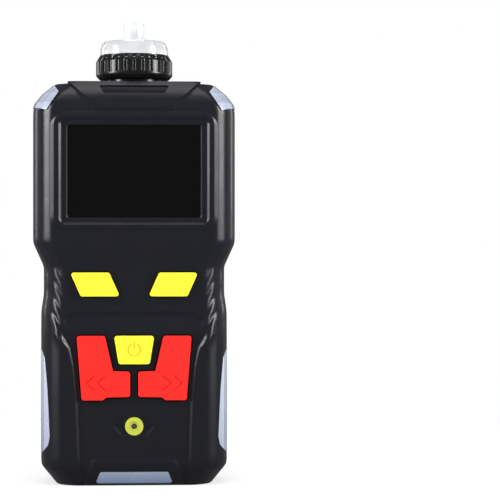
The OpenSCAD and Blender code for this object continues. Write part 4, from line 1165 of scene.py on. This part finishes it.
def latch_ribs():
    """Finger ribs up the face of the battery latch."""
    low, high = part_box("battery_latch")
    first = from_points("latch_finger_ribs", [(0, high.y - 0.62 * MM, low.z + 0.52 * MM)])
    ribs = grown(
        first, *rib_tree(), 60, count=sizes().latch_ribs, pitch=1.0 * MM,
        width=(high.x - low.x) - 0.8 * MM, radius=0.3 * MM, material=PALETTE["latch_plastic"])
    settle(ribs, "latch", "latch_plastic")


def latch_spring():
    """The coil spring that the latch squeezes against the floor of its seat."""
    spring = smooth(object_from(merged("latch_spring"), "latch_coil_spring"), 40)
    settle(coat(spring, "spring_steel"), "pack", "spring_steel", "latch_spring")
    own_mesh(spring)


class Pack(bpy.types.Operator):
    """The battery pack's cover, its latch with finger ribs, and what is inside"""

    bl_idname = "detector.pack"
    bl_label = "Battery pack"

    def execute(self, context):
        moulded("battery_cover", "battery_pack_cover", "pack", "case_plastic",
                soft=sizes().soft_edge, fine=sizes().fine_edge, steps=3, sharp=72)
        moulded("battery_latch", "latch_slider", "latch", "latch_plastic", fine=0.15 * MM)
        latch_ribs()
        latch_spring()
        dress(battery_tray="pump_plastic", battery="cell_wrap", protection_board="circuit",
              pack_contacts="gold", battery_contacts="gold")
        return {"FINISHED"}


class Screws(bpy.types.Operator):
    """Cross-recessed screws of the case, the clip and the battery pack"""

    bl_idname = "detector.screws"
    bl_label = "Screws"

    def execute(self, context):
        tree, identifiers = screw_tree()
        # node, body, finish, height of the head and radius of the shank in mm, turn in radians
        for node, body, look, tall, shank, turn in (
                ("case_screws", "case", "black_steel", 1.3, 0.95, 0.2),
                ("clip_screws", "case", "screw_steel", 1.75, 1.25, 0.78),
                ("pack_screws", "pack", "black_steel", 1.3, 0.95, 0.5)):
            alike = {}
            for low, high in shells(node):
                size = (round(low.y, 4), round(high.y, 4), round(high.x - low.x, 4))
                alike.setdefault(size, []).append((low, high))
            height = tall * MM
            for index, ((y0, y1, wide), found) in enumerate(sorted(alike.items())):
                spots = [((a.x + b.x) / 2, b.y - height, (a.z + b.z) / 2) for a, b in found]
                part = grown(
                    from_points(f"{node}_{index + 1}", spots), tree, identifiers, 30,
                    head_radius=wide / 2, head_height=height, shank_radius=shank * MM,
                    shank_length=y1 - height - y0, recess=sizes().screw_recess, turn=turn,
                    material=PALETTE[look])
                replaced = (node,) if index == 0 else ()
                settle(part, body, look, *replaced)
        dress(board_screws="black_steel")
        return {"FINISHED"}


class Insides(bpy.types.Operator):
    """Finishes for the boards, sensors and other pieces inside"""

    bl_idname = "detector.insides"
    bl_label = "Insides"

    def execute(self, context):
        dress(main_board="circuit", sensor_board="circuit", board_connector="component",
              vibration_motor="screw_steel", gas_sensors="sensor_can",
              sensor_gasket="black_rubber", sensor_manifold="pump_plastic")
        return {"FINISHED"}


# ---- The stage ----
WHITE = (1, 1, 1, 1)


def seen_white(tree):
    """The light path's sockets, and 1 where the camera looks, also through clear plastic."""
    path = add(tree, "ShaderNodeLightPath").outputs
    seen = add(tree, "ShaderNodeMath", {
        0: path["Is Camera Ray"], 1: path["Transmission Depth"]}, operation="ADD", use_clamp=True)
    return path, seen


def paper():
    """Matt white paper, lifted to pure white for the camera and dimmed in gloss."""
    in_gloss = 0.14
    made = bpy.data.materials.new("white_paper_sweep")
    tree = bare_tree(made)
    path, seen = seen_white(tree)
    # far from the detector the paper sweeps up into the white surroundings
    place = add(tree, "ShaderNodeTexCoord").outputs["Object"]
    away = add(tree, "ShaderNodeVectorMath", {0: place}, operation="LENGTH").outputs["Value"]
    far = add(tree, "ShaderNodeMapRange", {
        "Value": away, "From Min": 0.08, "From Max": 0.4, "To Min": 0.6, "To Max": 1.0},
        interpolation_type="SMOOTHSTEP")
    lift = add(tree, "ShaderNodeMath", {0: seen, 1: far}, operation="MULTIPLY")
    sheet = add(tree, "ShaderNodeBsdfDiffuse", {
        "Color": tuple(colours().floor) + (1,), "Roughness": 0.5})
    glow = add(tree, "ShaderNodeEmission", {"Color": WHITE, "Strength": 1.0})
    lit = add(tree, "ShaderNodeMixShader", {0: lift, 1: sheet, 2: glow})
    dull = add(tree, "ShaderNodeEmission", {"Color": WHITE, "Strength": in_gloss})
    both = add(tree, "ShaderNodeMixShader", {0: path["Is Glossy Ray"], 1: lit, 2: dull})
    add(tree, "ShaderNodeOutputMaterial", {"Surface": both})
    return made


def paper_floor():
    """A wide floor, just below the detector's foot."""
    mesh = bmesh.new()
    bmesh.ops.create_grid(mesh, x_segments=8, y_segments=8, size=3.0)
    floor = object_from(mesh, "floor")
    floor.data.transform(Matrix.Translation((0, 0, CAD_BOX[0][2] - 0.2 * MM)))
    floor.data.materials.append(paper())


def studio_world():
    """White for the camera, dimmer for matt surfaces and dimmest in gloss."""
    world = bpy.data.worlds.new("studio")
    bpy.context.scene.world = world
    tree = bare_tree(world)
    path, seen = seen_white(tree)
    matt, gloss, white = [add(tree, "ShaderNodeBackground", {"Color": WHITE, "Strength": bright})
                          for bright in (0.42, 0.12, 1.0)]
    room = add(tree, "ShaderNodeMixShader", {0: path["Is Glossy Ray"], 1: matt, 2: gloss})
    sky = add(tree, "ShaderNodeMixShader", {0: seen, 1: room, 2: white})
    add(tree, "ShaderNodeOutputWorld", {"Surface": sky})


def softboxes():
    """Soft lamps round the detector, all aimed at its middle."""
    middle = Vector((0, 0, 0.095))
    # name, place, width, height, brightness, and whether it shows in gloss: the fills don't, so
    # that they leave no square there
    for name, place, wide, tall, bright, in_gloss in (
            ("left strip", (-0.75, -0.29, 0.36), 0.22, 0.5, 16.0, True),
            ("right strip", (0.75, -0.29, 0.36), 0.22, 0.5, 16.0, True),
            ("rear left strip", (-0.56, 0.57, 0.34), 0.2, 0.5, 2.5, True),
            ("rear right strip", (0.56, 0.57, 0.34), 0.2, 0.5, 2.5, True),
            ("front fill", (0.0, -0.9, 0.75), 0.9, 0.6, 2.25, False),
            ("back fill", (0.0, 0.9, 0.75), 0.9, 0.6, 2.6, False),
            ("overhead", (0.0, 0.0, 1.2), 0.6, 0.6, 2.0, True)):
        lamp = bpy.data.lights.new(name, "AREA")
        lamp.shape = "RECTANGLE"
        lamp.size, lamp.size_y = wide, tall
        lamp.energy = bright * math.pi * wide * tall
        box = linked(name, lamp)
        box.location = place
        box.rotation_euler = (middle - Vector(place)).to_track_quat("-Z", "Y").to_euler()
        box.visible_glossy = in_gloss


def camera():
    """A long lens in front of the detector, turned a little to the right."""
    lens = bpy.data.cameras.new("camera")
    lens.lens = 151
    lens.sensor_width = 36
    lens.clip_start = 0.05
    eye = linked("camera", lens)
    eye.location = (0, -0.8985, 0.0985)
    eye.rotation_euler = (math.pi / 2, 0, -math.radians(3.16))
    bpy.context.scene.camera = eye


class Stage(bpy.types.Operator):
    """Pale floor, white surroundings, softboxes and the camera"""

    bl_idname = "detector.stage"
    bl_label = "Stage"

    def execute(self, context):
        context.scene.view_settings.view_transform = "Standard"
        paper_floor()
        studio_world()
        softboxes()
        camera()
        return {"FINISHED"}


OPERATORS = (Covers, Display, Keys, Lenses, Inlet, Clip, Back, Pack, Screws, Insides, Stage)


class DetectorPanel(bpy.types.Panel):
    """Buttons and sizes of the gas detector"""

    bl_idname = "VIEW3D_PT_detector"
    bl_label = "Gas detector"
    bl_space_type = "VIEW_3D"
    bl_region_type = "UI"
    bl_category = "Gas detector"

    def draw(self, context):
        for group in (sizes(), colours()):
            box = self.layout.box()
            for name in type(group).__annotations__:
                box.prop(group, name)
        column = self.layout.column(align=True)
        for made in OPERATORS:
            column.operator(made.bl_idname)


CLASSES = (DetectorSizes, DetectorColours, *OPERATORS, DetectorPanel)


def register():
    for kind in CLASSES:
        bpy.utils.register_class(kind)
    bpy.types.Scene.detector_sizes = bpy.props.PointerProperty(type=DetectorSizes)
    bpy.types.Scene.detector_colours = bpy.props.PointerProperty(type=DetectorColours)


def unregister():
    del bpy.types.Scene.detector_colours
    del bpy.types.Scene.detector_sizes
    for kind in reversed(CLASSES):
        bpy.utils.unregister_class(kind)


def main():
    register()
    for make_finishes in (case_finishes, key_finishes, lens_finishes, rubber_finishes,
                          metal_finishes, inside_finishes):
        make_finishes()
    for made in OPERATORS:
        group, action = made.bl_idname.split(".")
        getattr(getattr(bpy.ops, group), action)()


if __name__ == "__main__":
    main()
